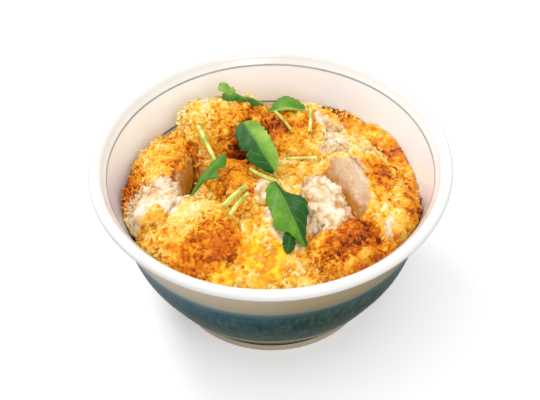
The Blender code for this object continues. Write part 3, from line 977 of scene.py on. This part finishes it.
def make_mound(node, material, slot, seed, size, height, pit):
    mesh = remeshed(node, voxel=0.6, smoothing=7)
    places = corners_of(mesh)
    relief = folds(places, seed, size, height)
    holes = pits(places, seed, PIT_SIZE, pit) if pit else 0.0 * relief
    white = 0.3 if slot == "egg_white" else 0.0
    spots = wavy(places)
    eggy = cover_at(spots, WHITE_TOUCHES) + cover_at(spots, YOLK_TOUCHES) + white
    crumbed = 1.0 - np.clip(eggy, 0.0, 1.0)
    crusted, fry_and_shade = crust_relief(places, seed, coarse=0.6, fine=1.1)
    relief += holes + 0.3 * pit + crumbed * crusted
    pushed(mesh, relief)
    held_inside(mesh)
    deep = np.clip(-holes / 1.5, 0.0, 1.0)
    fry_and_shade = crumbed * fry_and_shade + (1.0 - crumbed) * (0.10 + 0.50 * deep)
    paint_food(mesh, places, fry_and_shade, white - 0.35 * deep, 0.4 if slot == "yolk" else 0.0)
    return to_piece(node + "_set", mesh, material, node)


mounds = [make_mound(*one) for one in MOUNDS]
print("mounds:", {piece.name: triangles(piece.data) for piece in mounds})

# %% [markdown]
# ## The cut pork
# Where the knife went, the meat shows: pale pink-beige with fine fibres that run across the slice,
# browner and wetter near its lower edge, where sauce wets it and where shade along its border is painted
# in. Crumbs hang over the border of the cut, so the meat's touches cover only the middle of the piece
# and the rest is crusted like the slice around it.

# %% Pork
def make_pork(node, seed):
    mesh = remeshed(node, voxel=0.7, smoothing=6)
    places = corners_of(mesh)
    bare = cover_at(places, MEAT_TOUCHES)
    crusted, fry_and_shade = crust_relief(places, seed, coarse=0.8, fine=1.2)
    pushed(mesh, folds(places, seed, size=7.0, height=0.5) + (1.0 - bare) * (crusted + 0.4))
    held_inside(mesh)
    paint_food(mesh, places, fry_and_shade, meaty=True)
    return to_piece(node + "_cut", mesh, pork, node)


pork_pieces = [make_pork("pork_left", 31), make_pork("pork_right", 32)]
print("pork:", {piece.name: triangles(piece.data) for piece in pork_pieces})

# %% [markdown]
# ## The soft egg between the slices
# Beaten egg was poured over the slices, so it fills the gaps between them and no slice stands alone.
# To find that filled surface, we drop a plumb line on every millimetre of the heap and note where it
# lands. Raising each spot to the highest within six millimetres, and then lowering each to the lowest
# within six, fills narrow gaps and leaves the tops as they are. The bed's upper side then rises to it
# in the gaps, but stays under the pieces and out of the hollows that are dark in the dish.

# %% Heights of the heap
def tree_of(pieces):
    """One search tree over several pieces."""
    corners = []
    faces = []
    for piece in pieces:
        first = len(corners)
        corners += [vertex.co for vertex in piece.data.vertices]
        faces += [[first + k for k in face.vertices] for face in piece.data.polygons]
    return BVHTree.FromPolygons(corners, faces)


GRID = np.arange(-76.0, 76.5, 1.0)
DOWN = Vector((0.0, 0.0, -1.0))
# The height that stands for no food at all, the gap that is filled and how deep the egg lies in it.
NO_FOOD = 50.0
GAP = 6
EGG_DEPTH = 0.8
UNDER_FOOD = 1.6


def heights_over(tree):
    """The height of the food under every millimetre, or NO_FOOD where there is none."""
    heights = np.full((len(GRID), len(GRID)), NO_FOOD)
    for i, x in enumerate(GRID):
        for j, y in enumerate(GRID):
            spot = tree.ray_cast(Vector((x, y, 120.0)) * MM, DOWN)[0]
            if spot:
                heights[i, j] = spot.z / MM
    return heights


def spread(heights, reach, pick):
    """Each spot takes the highest or lowest value within reach."""
    result = heights.copy()
    for i in range(-reach, reach + 1):
        for j in range(-reach, reach + 1):
            if i * i + j * j <= reach * reach:
                result = pick(result, np.roll(heights, (i, j), axis=(0, 1)))
    return result


def softened(heights, times):
    """Each spot is mixed with its four neighbours, that many times."""
    for _ in range(times):
        beside = [np.roll(heights, step, axis) for step in (-1, 1) for axis in (0, 1)]
        heights = 0.4 * heights + 0.15 * sum(beside)
    return heights


def sample(heights, places):
    """The grid's height at each place, evened out between grid points."""
    x = np.clip(places[:, 0] - GRID[0], 0, len(GRID) - 2)
    y = np.clip(places[:, 1] - GRID[0], 0, len(GRID) - 2)
    i = x.astype(int)
    j = y.astype(int)
    u = x - i
    v = y - j
    low = heights[i, j] * (1 - u) + heights[i + 1, j] * u
    high = heights[i, j + 1] * (1 - u) + heights[i + 1, j + 1] * u
    return low * (1 - v) + high * v


laid_on = slices + mounds + pork_pieces
top_heights = heights_over(tree_of(laid_on))
bare_heights = heights_over(tree_of(laid_on + [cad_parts["egg_bed"]]))
filled_heights = softened(spread(spread(bare_heights, GAP, np.maximum), GAP, np.minimum), 4) - EGG_DEPTH
covered = np.minimum(filled_heights, top_heights - UNDER_FOOD)
egg_heights = np.where(top_heights > NO_FOOD + 1.0, covered, filled_heights)
print("highest food in mm:", bare_heights.max().round(1))
print("mean fill in mm:", (filled_heights - bare_heights).mean().round(2))

# %% The bed of egg and rice
# Hollows that stay open between the slices, painted dark for the sauce in them and as painted shade.
# Each: across, back, reach, then how open.
OPEN_HOLLOWS = (
    (-15, 21, 7, 1.0),
    (-3, 27, 5, 0.8),
    (51, -43, 4, 1.0),
    (-40, 4, 6, 0.6),
    (31, -12, 5, 0.8),
    (30, 56, 14, 1.0),
    (60, 30, 10, 1.0),
)


def make_bed():
    mesh = remeshed("egg_bed", voxel=0.9, smoothing=5)
    places = corners_of(mesh)
    upward = fade(normals_of(mesh)[:, 2], 0.15, 0.45) * (places[:, 2] > NO_FOOD)
    rise = np.maximum(sample(egg_heights, places) - places[:, 2], 0.0)
    rise *= 1.0 - cover_at(places, OPEN_HOLLOWS)
    places[:, 2] += upward * rise
    radius = np.hypot(places[:, 0], places[:, 1])
    at_right = fade(places[:, 0] / np.maximum(radius, 1.0), -0.1, 0.4)
    edge = at_right * fade(radius, 58.0, 68.0) * (places[:, 2] > 52.0)
    places[:, 2] += edge * np.clip((54.0 - places[:, 1]) / 5.0, 1.4, 3.0)
    places[:, :2] *= 1.0 + 0.03 * edge[:, None]
    move_corners(mesh, places)
    upper = fade(places[:, 2], 56.0, 59.0)
    rough, fry_and_shade = crust_relief(places, 12, coarse=0.9, fine=1.0)
    meat = cover_at(places, MEAT_TOUCHES)
    pushed(mesh, (folds(places, 9.0, size=5.0, height=1.1) + rough) * upper * (1.0 - 0.8 * meat))
    held_inside(mesh)
    sauce_and_shade = cover_at(places, OPEN_HOLLOWS)
    # Open hollows are painted darker and less yellow, for the sauce in them and as painted shade, and the egg
    # grows darker towards the wall.
    fry_and_shade = fry_and_shade - 0.4 * fry_at(places) + 0.06 + 0.6 * sauce_and_shade + 0.2 * fade(radius, 67.0, 72.0)
    mottled = 0.3 * folds(places, 77.0, size=8.0, height=0.6)
    paint_food(mesh, places, fry_and_shade, mottled, 0.15 - mottled - 0.6 * sauce_and_shade, meaty=True)
    return to_piece("egg_bed_soft", mesh, egg, "egg_bed")


bed = make_bed()
print("bed triangles:", triangles(bed.data))

# %% [markdown]
# ## Crumbs
# Dry breadcrumbs of this kind are airy flakes, one to five millimetres long, that curl and point every
# way. A few base crumbs are made from a small ball that is flattened, bent and made ragged, and copies
# of them are strewn over the crust, each turned and sized by chance. All crumbs of a kind are one mesh.

# %% Base crumbs
def base_crumb(seed, half, bend, ragged):
    """A small crumb from a ball: its corners, its faces and how far out each corner is."""
    shape = bmesh.new()
    bmesh.ops.create_icosphere(shape, subdivisions=1, radius=0.5)
    shift = Vector((seed * 5.1, seed * 2.3, 0.0))
    for vertex in shape.verts:
        way = noise.noise_vector(vertex.co * 2.6 + shift)
        vertex.co *= 1.0 + ragged * (way.x + 1.5 * abs(way.y))
        vertex.co = Vector([vertex.co[k] * half[k] for k in range(3)])
        vertex.co.z += bend * vertex.co.x**2 + 0.6 * bend * vertex.co.y * vertex.co.x
    bmesh.ops.recalc_face_normals(shape, faces=shape.faces)
    corners = np.array([vertex.co[:] for vertex in shape.verts])
    faces = np.array([[vertex.index for vertex in face.verts] for face in shape.faces])
    shape.free()
    outward = np.linalg.norm(corners, axis=1)
    return corners, faces, outward / outward.max()


CHIPS = [base_crumb(10 + k, (1.5, 0.6, 0.32), bend, 0.8) for k, bend in enumerate((0.8, 1.1, -0.6, 0.9, 0.4))]
GRITS = [base_crumb(20 + k, (1.1, 0.7, 0.5), 0.3, 0.6) for k in range(4)]
STRANDS = [base_crumb(30 + k, (1.6, 0.36, 0.3), bend, 0.5) for k, bend in enumerate((0.8, 1.2, -0.7, 1.0))]
print("base crumbs:", len(CHIPS) + len(GRITS) + len(STRANDS), "faces each:", len(CHIPS[0][1]))


# %% Strewing
# Crumbs lie above this height, in millimetres, because slices are under egg lower down.
CRUMBS_ABOVE = 55.0


def surface_samples(pieces, spacing, seed):
    """Random places on the upward parts of pieces, about spacing millimetres apart."""
    chance = np.random.default_rng(seed)
    spots = []
    ways = []
    for piece in pieces:
        faces = piece.data.polygons
        share = read(faces, "area", 1)[:, 0] / MM**2 / spacing**2
        middle = read(faces, "center", 3) / MM
        normal = read(faces, "normal", 3)
        picked = (chance.random(len(faces)) < share) & (normal[:, 2] > -0.25) & (middle[:, 2] > CRUMBS_ABOVE)
        spots.append(middle[picked])
        ways.append(normal[picked])
    return np.concatenate(spots), np.concatenate(ways)


def in_the_open(spots, ways, tree, reach):
    """Which places have nothing above them within reach millimetres."""
    clear = np.ones(len(spots), dtype=bool)
    for k, (spot, way) in enumerate(zip(spots, ways)):
        aim = (Vector(way) + Vector((0, 0, 1))).normalized()
        start = Vector(spot) * MM + aim * 0.7 * MM
        clear[k] = tree.ray_cast(start, aim, reach * MM)[0] is None
    return clear


def joined_copies(bases, spots, ways, sizes, seed, upright):
    """Copies of base crumbs as one set of corners and faces, with the place each copy came from."""
    chance = random.Random(seed)
    corners = []
    faces = []
    owner = []
    outward = []
    count = 0
    for k, (spot, way) in enumerate(zip(spots, ways)):
        base, base_faces, base_outward = bases[chance.randrange(len(bases))]
        lean = Vector([chance.gauss(0, upright) for _ in range(3)])
        up = (Vector(way) + lean).normalized()
        turned = up.to_track_quat("Z", "X").to_matrix() @ Matrix.Rotation(chance.uniform(0, math.tau), 3, "Z")
        placed = base @ np.array(turned).T * sizes[k] + spot + np.array(way) * 0.05 * sizes[k]
        corners.append(placed)
        faces.append(base_faces + count)
        owner.append(np.full(len(base), k))
        outward.append(base_outward)
        count += len(base)
    return [np.concatenate(part) for part in (corners, faces, owner, outward)]


def mesh_from(name, corners, faces):
    """A flat-shaded mesh, because a smooth crumb this thin would catch the light wrongly."""
    mesh = bpy.data.meshes.new(name)
    mesh.from_pydata((corners * MM).tolist(), [], faces.tolist())
    return mesh


greens = [node for name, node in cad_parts.items() if name.startswith(("leaf", "stem"))]
food_tree = tree_of(laid_on + [bed] + greens)
over_bed = softened(heights_over(tree_of(laid_on + [bed])), 2)

# Places where soft egg lies bare, without crumbs: across, back, reach in millimetres, share left out.
BARE_TOUCHES = (
    (-10, -44, 9, 0.7),
    (2, -36, 7, 0.8),
    (8, -48, 7, 0.5),
    (-14, -34, 6, 0.6),
    (30, 34, 10, 0.6),
    (42, 26, 9, 0.5),
    (56, 36, 14, 0.9),
    (46, -6, 8, 0.9),
    (40, 8, 7, 0.9),
    (53, -28, 6, 0.8),
    (-43, -5, 7, 0.9),
    (-47, 8, 6, 0.8),
    (42, -45, 9, 0.5),
    (-27, -42, 8, 0.4),
    (-47, -24, 8, 1.5),
    (48, -2, 4, 0.8),
    (49, -12, 4, 0.8),
    (-16, 21, 5, 0.8),
)
# Frilly places, where long strands of crumb stand out: across, back, reach, how many.
STRAND_TOUCHES = (
    (-69, 2, 6, 1.0),
    (-68, 12, 5, 0.9),
    (-67, -9, 6, 1.0),
    (-53, 26, 6, 0.5),
    (-44, 50, 5, 0.4),
    (26, -48, 6, 0.4),
)


def strew(name, pieces, bases, spacing, low, high, seed, lift, upright, only=None):
    """Crumbs low to high in size. lift browns them, upright makes them stand, only keeps them to touches."""
    spots, ways = surface_samples(pieces, spacing, seed)
    chance = np.random.default_rng(seed + 1)
    white = cover_at(spots, WHITE_TOUCHES)
    golden = cover_at(spots, YOLK_TOUCHES)
    soaked = 0.6 * fade(fry_at(spots), 0.5, 0.7)
    eggy = np.clip(np.maximum(white, golden) * 1.5, 0.0, 1.0)
    bare = np.maximum(eggy, np.maximum(soaked, cover_at(spots, BARE_TOUCHES)))
    kept = chance.random(len(spots)) > bare
    if only:
        kept = chance.random(len(spots)) < cover_at(spots, only)
    spots, ways, white, golden = spots[kept], ways[kept], white[kept], golden[kept]
    clear = in_the_open(spots, ways, food_tree, 5.0)
    spots, ways, white, golden = spots[clear], ways[clear], white[clear], golden[clear]
    sizes = low + (high - low) * chance.random(len(spots)) ** 1.6
    corners, faces, owner, outward = joined_copies(bases, spots, ways, sizes, seed, upright)
    mesh = mesh_from(name, corners, faces)
    held_inside(mesh, 0.3)
    level = fry_at(wavy(spots)) + lift + 0.06 * chance.standard_normal(len(spots))
    places = corners_of(mesh)
    above = fade(places[:, 2] - sample(over_bed, places), -0.4, 1.4)
    # Painted light and shade: each crumb is darker at its middle and low by the egg, where shade falls, and
    # paler at its ends and where it stands up, where light catches it.
    write_values(mesh, "fry_and_shade", np.clip(level[owner] + 0.14 - 0.12 * outward - 0.16 * above, 0, 1))
    write_values(mesh, "white", (0.9 * white)[owner])
    write_values(mesh, "yolk", (0.9 * golden)[owner])
    return to_piece(name, mesh, crust)


crumbed = slices + [bed]
chips = strew("crumb_chips", crumbed, CHIPS, spacing=4.2, low=1.3, high=3.0, seed=40, lift=0.05, upright=0.3)
grits = strew("crumb_grits", crumbed, GRITS, spacing=4.4, low=0.8, high=1.8, seed=42, lift=0.08, upright=0.4)
strands = strew(
    "crumb_strands", crumbed, STRANDS, spacing=1.6, low=1.6, high=3.4, seed=43, lift=0.12, upright=0.8,
    only=STRAND_TOUCHES,
)
print("crumbs:", {piece.name: triangles(piece.data) for piece in (chips, grits, strands)})

# %% [markdown]
# ## The leaves
# A leaf starts as a flat grid, many squares long and a few wide. Its length runs from the base to the
# tip, and at a few stations along it we know how far it reaches to the right and to the left. Teeth
# are small steps in those widths that grow and then drop back. The grid is bent, laid on the food so
# that it touches but never sinks in, and given a thickness. Three numbers stay with each corner: how
# far along the leaf it is, how far across and how light its tone is, because the veins and the lighter
# half are painted by them. The lighter half is partly the leaf's own paler green and partly painted
# light, where the light falls on that half.

# %% Leaf blades
BLADE_SHADES = ((0.0, 14, 58, 14), (0.3, 34, 88, 22), (0.6, 88, 140, 30), (1.0, 164, 196, 88))
LEAF_THICKNESS = 0.35
LEAF_CLEARANCE = 0.4


def leaf_green():
    material, tree, shader = finish("leaf green")
    place = place_on_object(tree)
    along = attribute(tree, "along")
    across = attribute(tree, "across")
    tone = grain(tree, place, 140.0, 4.0, 0.6)
    tone_and_light = attribute(tree, "tone_and_light")
    level = maths(tree, "ADD", tone_and_light, maths(tree, "MULTIPLY_ADD", tone, 0.6, -0.3), clamp=True)
    blade = ramp(tree, level, BLADE_SHADES)
    out = maths(tree, "ABSOLUTE", across)
    rib = stretched(tree, out, 0.07, 0.02)
    slanted = maths(tree, "SUBTRACT", maths(tree, "MULTIPLY", along, 6.0), maths(tree, "MULTIPLY", out, 1.7))
    wobble = maths(tree, "MULTIPLY_ADD", grain(tree, place, 110.0), 0.6, -0.3)
    share = maths(tree, "FRACT", maths(tree, "ADD", slanted, wobble))
    off = maths(tree, "ABSOLUTE", maths(tree, "SUBTRACT", share, 0.5))
    side = stretched(tree, off, 0.10, 0.03)
    vein = maths(tree, "MAXIMUM", rib, maths(tree, "MULTIPLY", side, 0.55), clamp=True)
    shade = mix(tree, maths(tree, "MULTIPLY", vein, 0.22), blade, colour(150, 190, 90))
    tree.links.new(shade, shader.inputs["Base Color"])
    shader.inputs["Roughness"].default_value = 0.42
    shader.inputs["Specular IOR Level"].default_value = 0.2
    height = maths(tree, "SUBTRACT", maths(tree, "MULTIPLY", tone, 0.8), vein)
    bump(tree, shader, height, 0.5, 0.0006)
    return material


green = leaf_green()
over_all = heights_over(tree_of(laid_on + [bed, chips]))
rest_heights = softened(spread(over_all, 1, np.maximum), 1)


def lay_leaf(name, base, tip, arch, fold, roll, wave, teeth, tone_and_light, stations, node=None):
    """A leaf blade on the food, from base to tip.

    arch lifts its middle, fold lifts its sides, roll turns it, in degrees, and wave ripples it. teeth
    are their number and depth. tone_and_light gives the tone on its right side, along its rib and on its
    left: partly the leaf's own green and partly painted light and shade.
    Each station says how far along it is and how far the leaf reaches there to the right and left.
    """
    base = Vector(base)
    along = Vector(tip) - base
    side = Vector((0, 0, 1)).cross(along).normalized()
    side.rotate(Matrix.Rotation(math.radians(roll), 3, along))
    up = along.cross(side).normalized()
    count, depth = teeth
    table = np.array(stations, dtype=float)
    shape = bmesh.new()
    bmesh.ops.create_grid(shape, x_segments=56, y_segments=14, size=1.0)
    values = []
    for vertex in shape.verts:
        part = 0.5 + 0.5 * vertex.co.x
        lane = vertex.co.y
        reach = np.interp(part, table[:, 0], table[:, 2 if lane > 0 else 1])
        step = (part * count) % 1.0
        reach *= 1.0 - depth * (1.0 - step) * max(0.0, abs(lane) - 0.6) / 0.4
        ripple = wave * math.sin(11 * part + 4 * lane) * (0.3 + abs(lane))
        rise = arch * 4 * part * (1 - part) + fold * abs(lane) ** 1.5 + ripple
        vertex.co = base + along * part + side * lane * reach + up * rise
        values.append((part, lane))
    places = np.array([vertex.co[:] for vertex in shape.verts])
    gap = np.maximum(0.0, sample(rest_heights, places) + LEAF_CLEARANCE - places[:, 2])
    for vertex, lift in zip(shape.verts, gap):
        vertex.co.z = min(vertex.co.z + lift, LEAF_TOP)
    for _ in range(2):
        bmesh.ops.smooth_vert(shape, verts=shape.verts, factor=0.5, use_axis_z=True)
    bmesh.ops.scale(shape, verts=shape.verts, vec=(MM, MM, MM))
    mesh = from_shape(name, shape)
    parts = np.array(values)
    write_values(mesh, "along", parts[:, 0])
    write_values(mesh, "across", parts[:, 1])
    write_values(mesh, "tone_and_light", np.interp(parts[:, 1], (-1.0, -0.15, 0.0, 0.15, 1.0), tone_and_light))
    piece = to_piece(name, mesh, green, node)
    wall = piece.modifiers.new("thickness", "SOLIDIFY")
    wall.thickness = LEAF_THICKNESS * MM
    wall.offset = 1.0
    return piece


LEAVES = (
    (
        "leaf_centre_blade", (2, -4, 81), (-13, 27, 86), 3.0, -1.2, -12, 0.5, (9, 0.16),
        (0.85, 0.72, 0.6, 0.28, 0.22),
        (
            (0, 1, 1), (0.06, 3.2, 3.0), (0.12, 4.5, 5), (0.25, 6.8, 8.3), (0.38, 7.2, 9.8),
            (0.46, 7.4, 7.4), (0.56, 7.6, 9.8), (0.75, 7.8, 8.4), (0.86, 6.8, 8.0), (0.93, 5.4, 6.2),
            (0.97, 4.0, 5.2), (1, 2, 3),
        ),
        "leaf_centre",
    ),
    (
        "leaf_front_blade", (2, -13, 82), (16, -50, 75), 3.0, -1.2, 10, 0.5, (8, 0.14),
        (0.62, 0.55, 0.45, 0.22, 0.15),
        (
            (0, 3, 1), (0.08, 6.6, 1.6), (0.2, 8.4, 3.0), (0.32, 8.6, 7.6), (0.4, 8.8, 10.6),
            (0.5, 9.3, 10.0), (0.6, 10.6, 8.6), (0.68, 9.6, 6.4), (0.72, 5.6, 5.4), (0.82, 3.2, 3.6),
            (0.92, 2.0, 1.8), (1, 0.5, 0.5),
        ),
        "leaf_front",
    ),
    (
        "leaf_left_blade", (-39, -16, 77), (-22, 6, 84), 1.5, -0.5, 0, 0.2, (3, 0.0),
        (0.5, 0.5, 0.55, 0.55, 0.5),
        (
            (0, 0.4, 0.4), (0.2, 0.8, 1.2), (0.35, 1.2, 1.9), (0.44, 3.6, 2.0), (0.52, 6.8, 2.0),
            (0.6, 3.0, 2.1), (0.7, 2.6, 2.2), (0.76, 5.0, 2.2), (0.84, 3.8, 2.2), (0.92, 1.8, 1.8),
            (1, 0.2, 0.4),
        ),
        "leaf_left",
    ),
    (
        "leaf_back_left_blade", (-3, 43, 84), (-24, 47, 87), -1.5, -0.6, 0, 0.3, (7, 0.25),
        (0.55, 0.5, 0.45, 0.4, 0.35),
        (
            (0, 0.4, 0.6), (0.12, 1.0, 2.4), (0.2, 1.5, 4.6), (0.34, 1.4, 2.8), (0.5, 1.5, 4.4),
            (0.62, 1.9, 3.2), (0.74, 2.6, 5.2), (0.86, 3.2, 5.0), (0.94, 2.6, 3.6), (1, 1.0, 1.5),
        ),
        "leaf_back_left",
    ),
    (
        "leaf_back_right_blade", (18, 39, 82), (0, 39, 82), 3.5, -1.0, -10, 0.2, (8, 0.08),
        (0.6, 0.58, 0.65, 0.9, 1.0),
        ((0, 3, 0.6), (0.2, 6.5, 0.8), (0.5, 8.2, 0.9), (0.75, 7.5, 0.9), (1, 1.5, 0.6)),
        "leaf_back_right",
    ),
    (
        "leaf_tuft", (-19, 47, 84.5), (-24, 56, 87.5), 1.4, -1.0, 20, 0.7, (5, 0.4),
        (0.85, 0.8, 0.7, 0.8, 0.85),
        ((0, 1.2, 1.2), (0.3, 4.4, 3.6), (0.6, 4.6, 5.0), (0.85, 3.4, 4.4), (1, 1.0, 1.6)),
    ),
    (
        "leaf_front_lobe", (9, -41, 75), (7, -52, 70), 0.8, -0.8, 0, 0.3, (4, 0.2),
        (0.2, 0.25, 0.3, 0.25, 0.2),
        ((0, 2.0, 2.0), (0.3, 3.4, 3.4), (0.6, 3.2, 3.6), (0.85, 2.2, 2.6), (1, 0.4, 0.4)),
    ),
)
leaves = [lay_leaf(*one) for one in LEAVES]
print("leaves:", {piece.name: triangles(piece.data) for piece in leaves})

# %% [markdown]
# ## The stems
# A stem is a curve with a round bevel, a little thicker at one end, cut off flat. Turning the curve
# into a mesh keeps what we see.

# %% Stems
def stem_green():
    material, tree, shader = finish("stem green")
    tone = grain(tree, place_on_object(tree), 190.0)
    shade = ramp(tree, tone, [(0.34, 150, 164, 44), (0.5, 198, 198, 84), (0.66, 226, 218, 134)])
    tree.links.new(shade, shader.inputs["Base Color"])
    shader.inputs["Roughness"].default_value = 0.32
    return material


STEM_STEPS = 14
# Each stem: its node, thickness in millimetres, how much thicker its far end is, and its route.
STEMS = (
    ("stem_left", 3.0, 0.75, ((-36, 29, 82), (-31, 15, 82), (-27, 3, 82))),
    ("stem_back", 1.9, 0.8, ((3, 38, 82), (7, 32, 81), (12, 25, 80))),
    ("stem_back_right", 1.8, 1.2, ((21, 40, 82), (21, 33, 81), (20, 25, 80))),
    ("stem_right", 1.3, 2.2, ((8, 4, 82), (15, 6, 81), (23, 6, 80))),
    ("stem_centre", 1.8, 1.2, ((-10, -3, 82), (-5, -8, 82), (3, -11, 81))),
    ("stem_front", 2.8, 1.15, ((-12, -15, 82), (-18, -20, 81), (-23, -26, 79))),
    ("stem_front_thin", 2.1, 1.1, ((-11, -19, 81), (-16, -24, 80), (-20, -31, 78))),
)
pale_green = stem_green()


def lay_stem(name, thickness, swell, route):
    """A cut stem over three places. One that more than doubles its thickness does so at its far end."""
    first, middle, last = [np.array(place, dtype=float) for place in route]
    curve = bpy.data.curves.new(name, "CURVE")
    curve.dimensions = "3D"
    curve.bevel_depth = 0.5 * thickness * MM
    curve.bevel_resolution = 3
    curve.use_fill_caps = True
    line = curve.splines.new("POLY")
    line.points.add(STEM_STEPS - 1)
    along = [k / (STEM_STEPS - 1) for k in range(STEM_STEPS)]
    path = np.array([first * (1 - t) ** 2 + 2 * middle * t * (1 - t) + last * t**2 for t in along])
    lift = np.maximum(0.0, sample(rest_heights, path) + 0.5 * thickness - 0.2 - path[:, 2])
    lift = np.convolve(np.pad(lift, 2, "edge"), np.ones(5) / 5, "valid")
    for point, place, rise, t in zip(line.points, path, lift, along):
        height = min(place[2] + rise, LEAF_TOP - 0.6 * thickness)
        point.co = (place[0] * MM, place[1] * MM, height * MM, 1.0)
        point.radius = 1.0 + (swell - 1.0) * t ** (6.0 if swell > 2.0 else 1.0)
    holder = bpy.data.objects.new("holder", curve)
    bpy.context.scene.collection.objects.link(holder)
    mesh = bpy.data.meshes.new_from_object(holder.evaluated_get(bpy.context.evaluated_depsgraph_get()))
    bpy.data.objects.remove(holder)
    mesh.materials.clear()
    mesh.shade_smooth()
    return to_piece(name + "_cut", mesh, pale_green, name)


stems = [lay_stem(*one) for one in STEMS]
print("stems:", {piece.name: triangles(piece.data) for piece in stems})
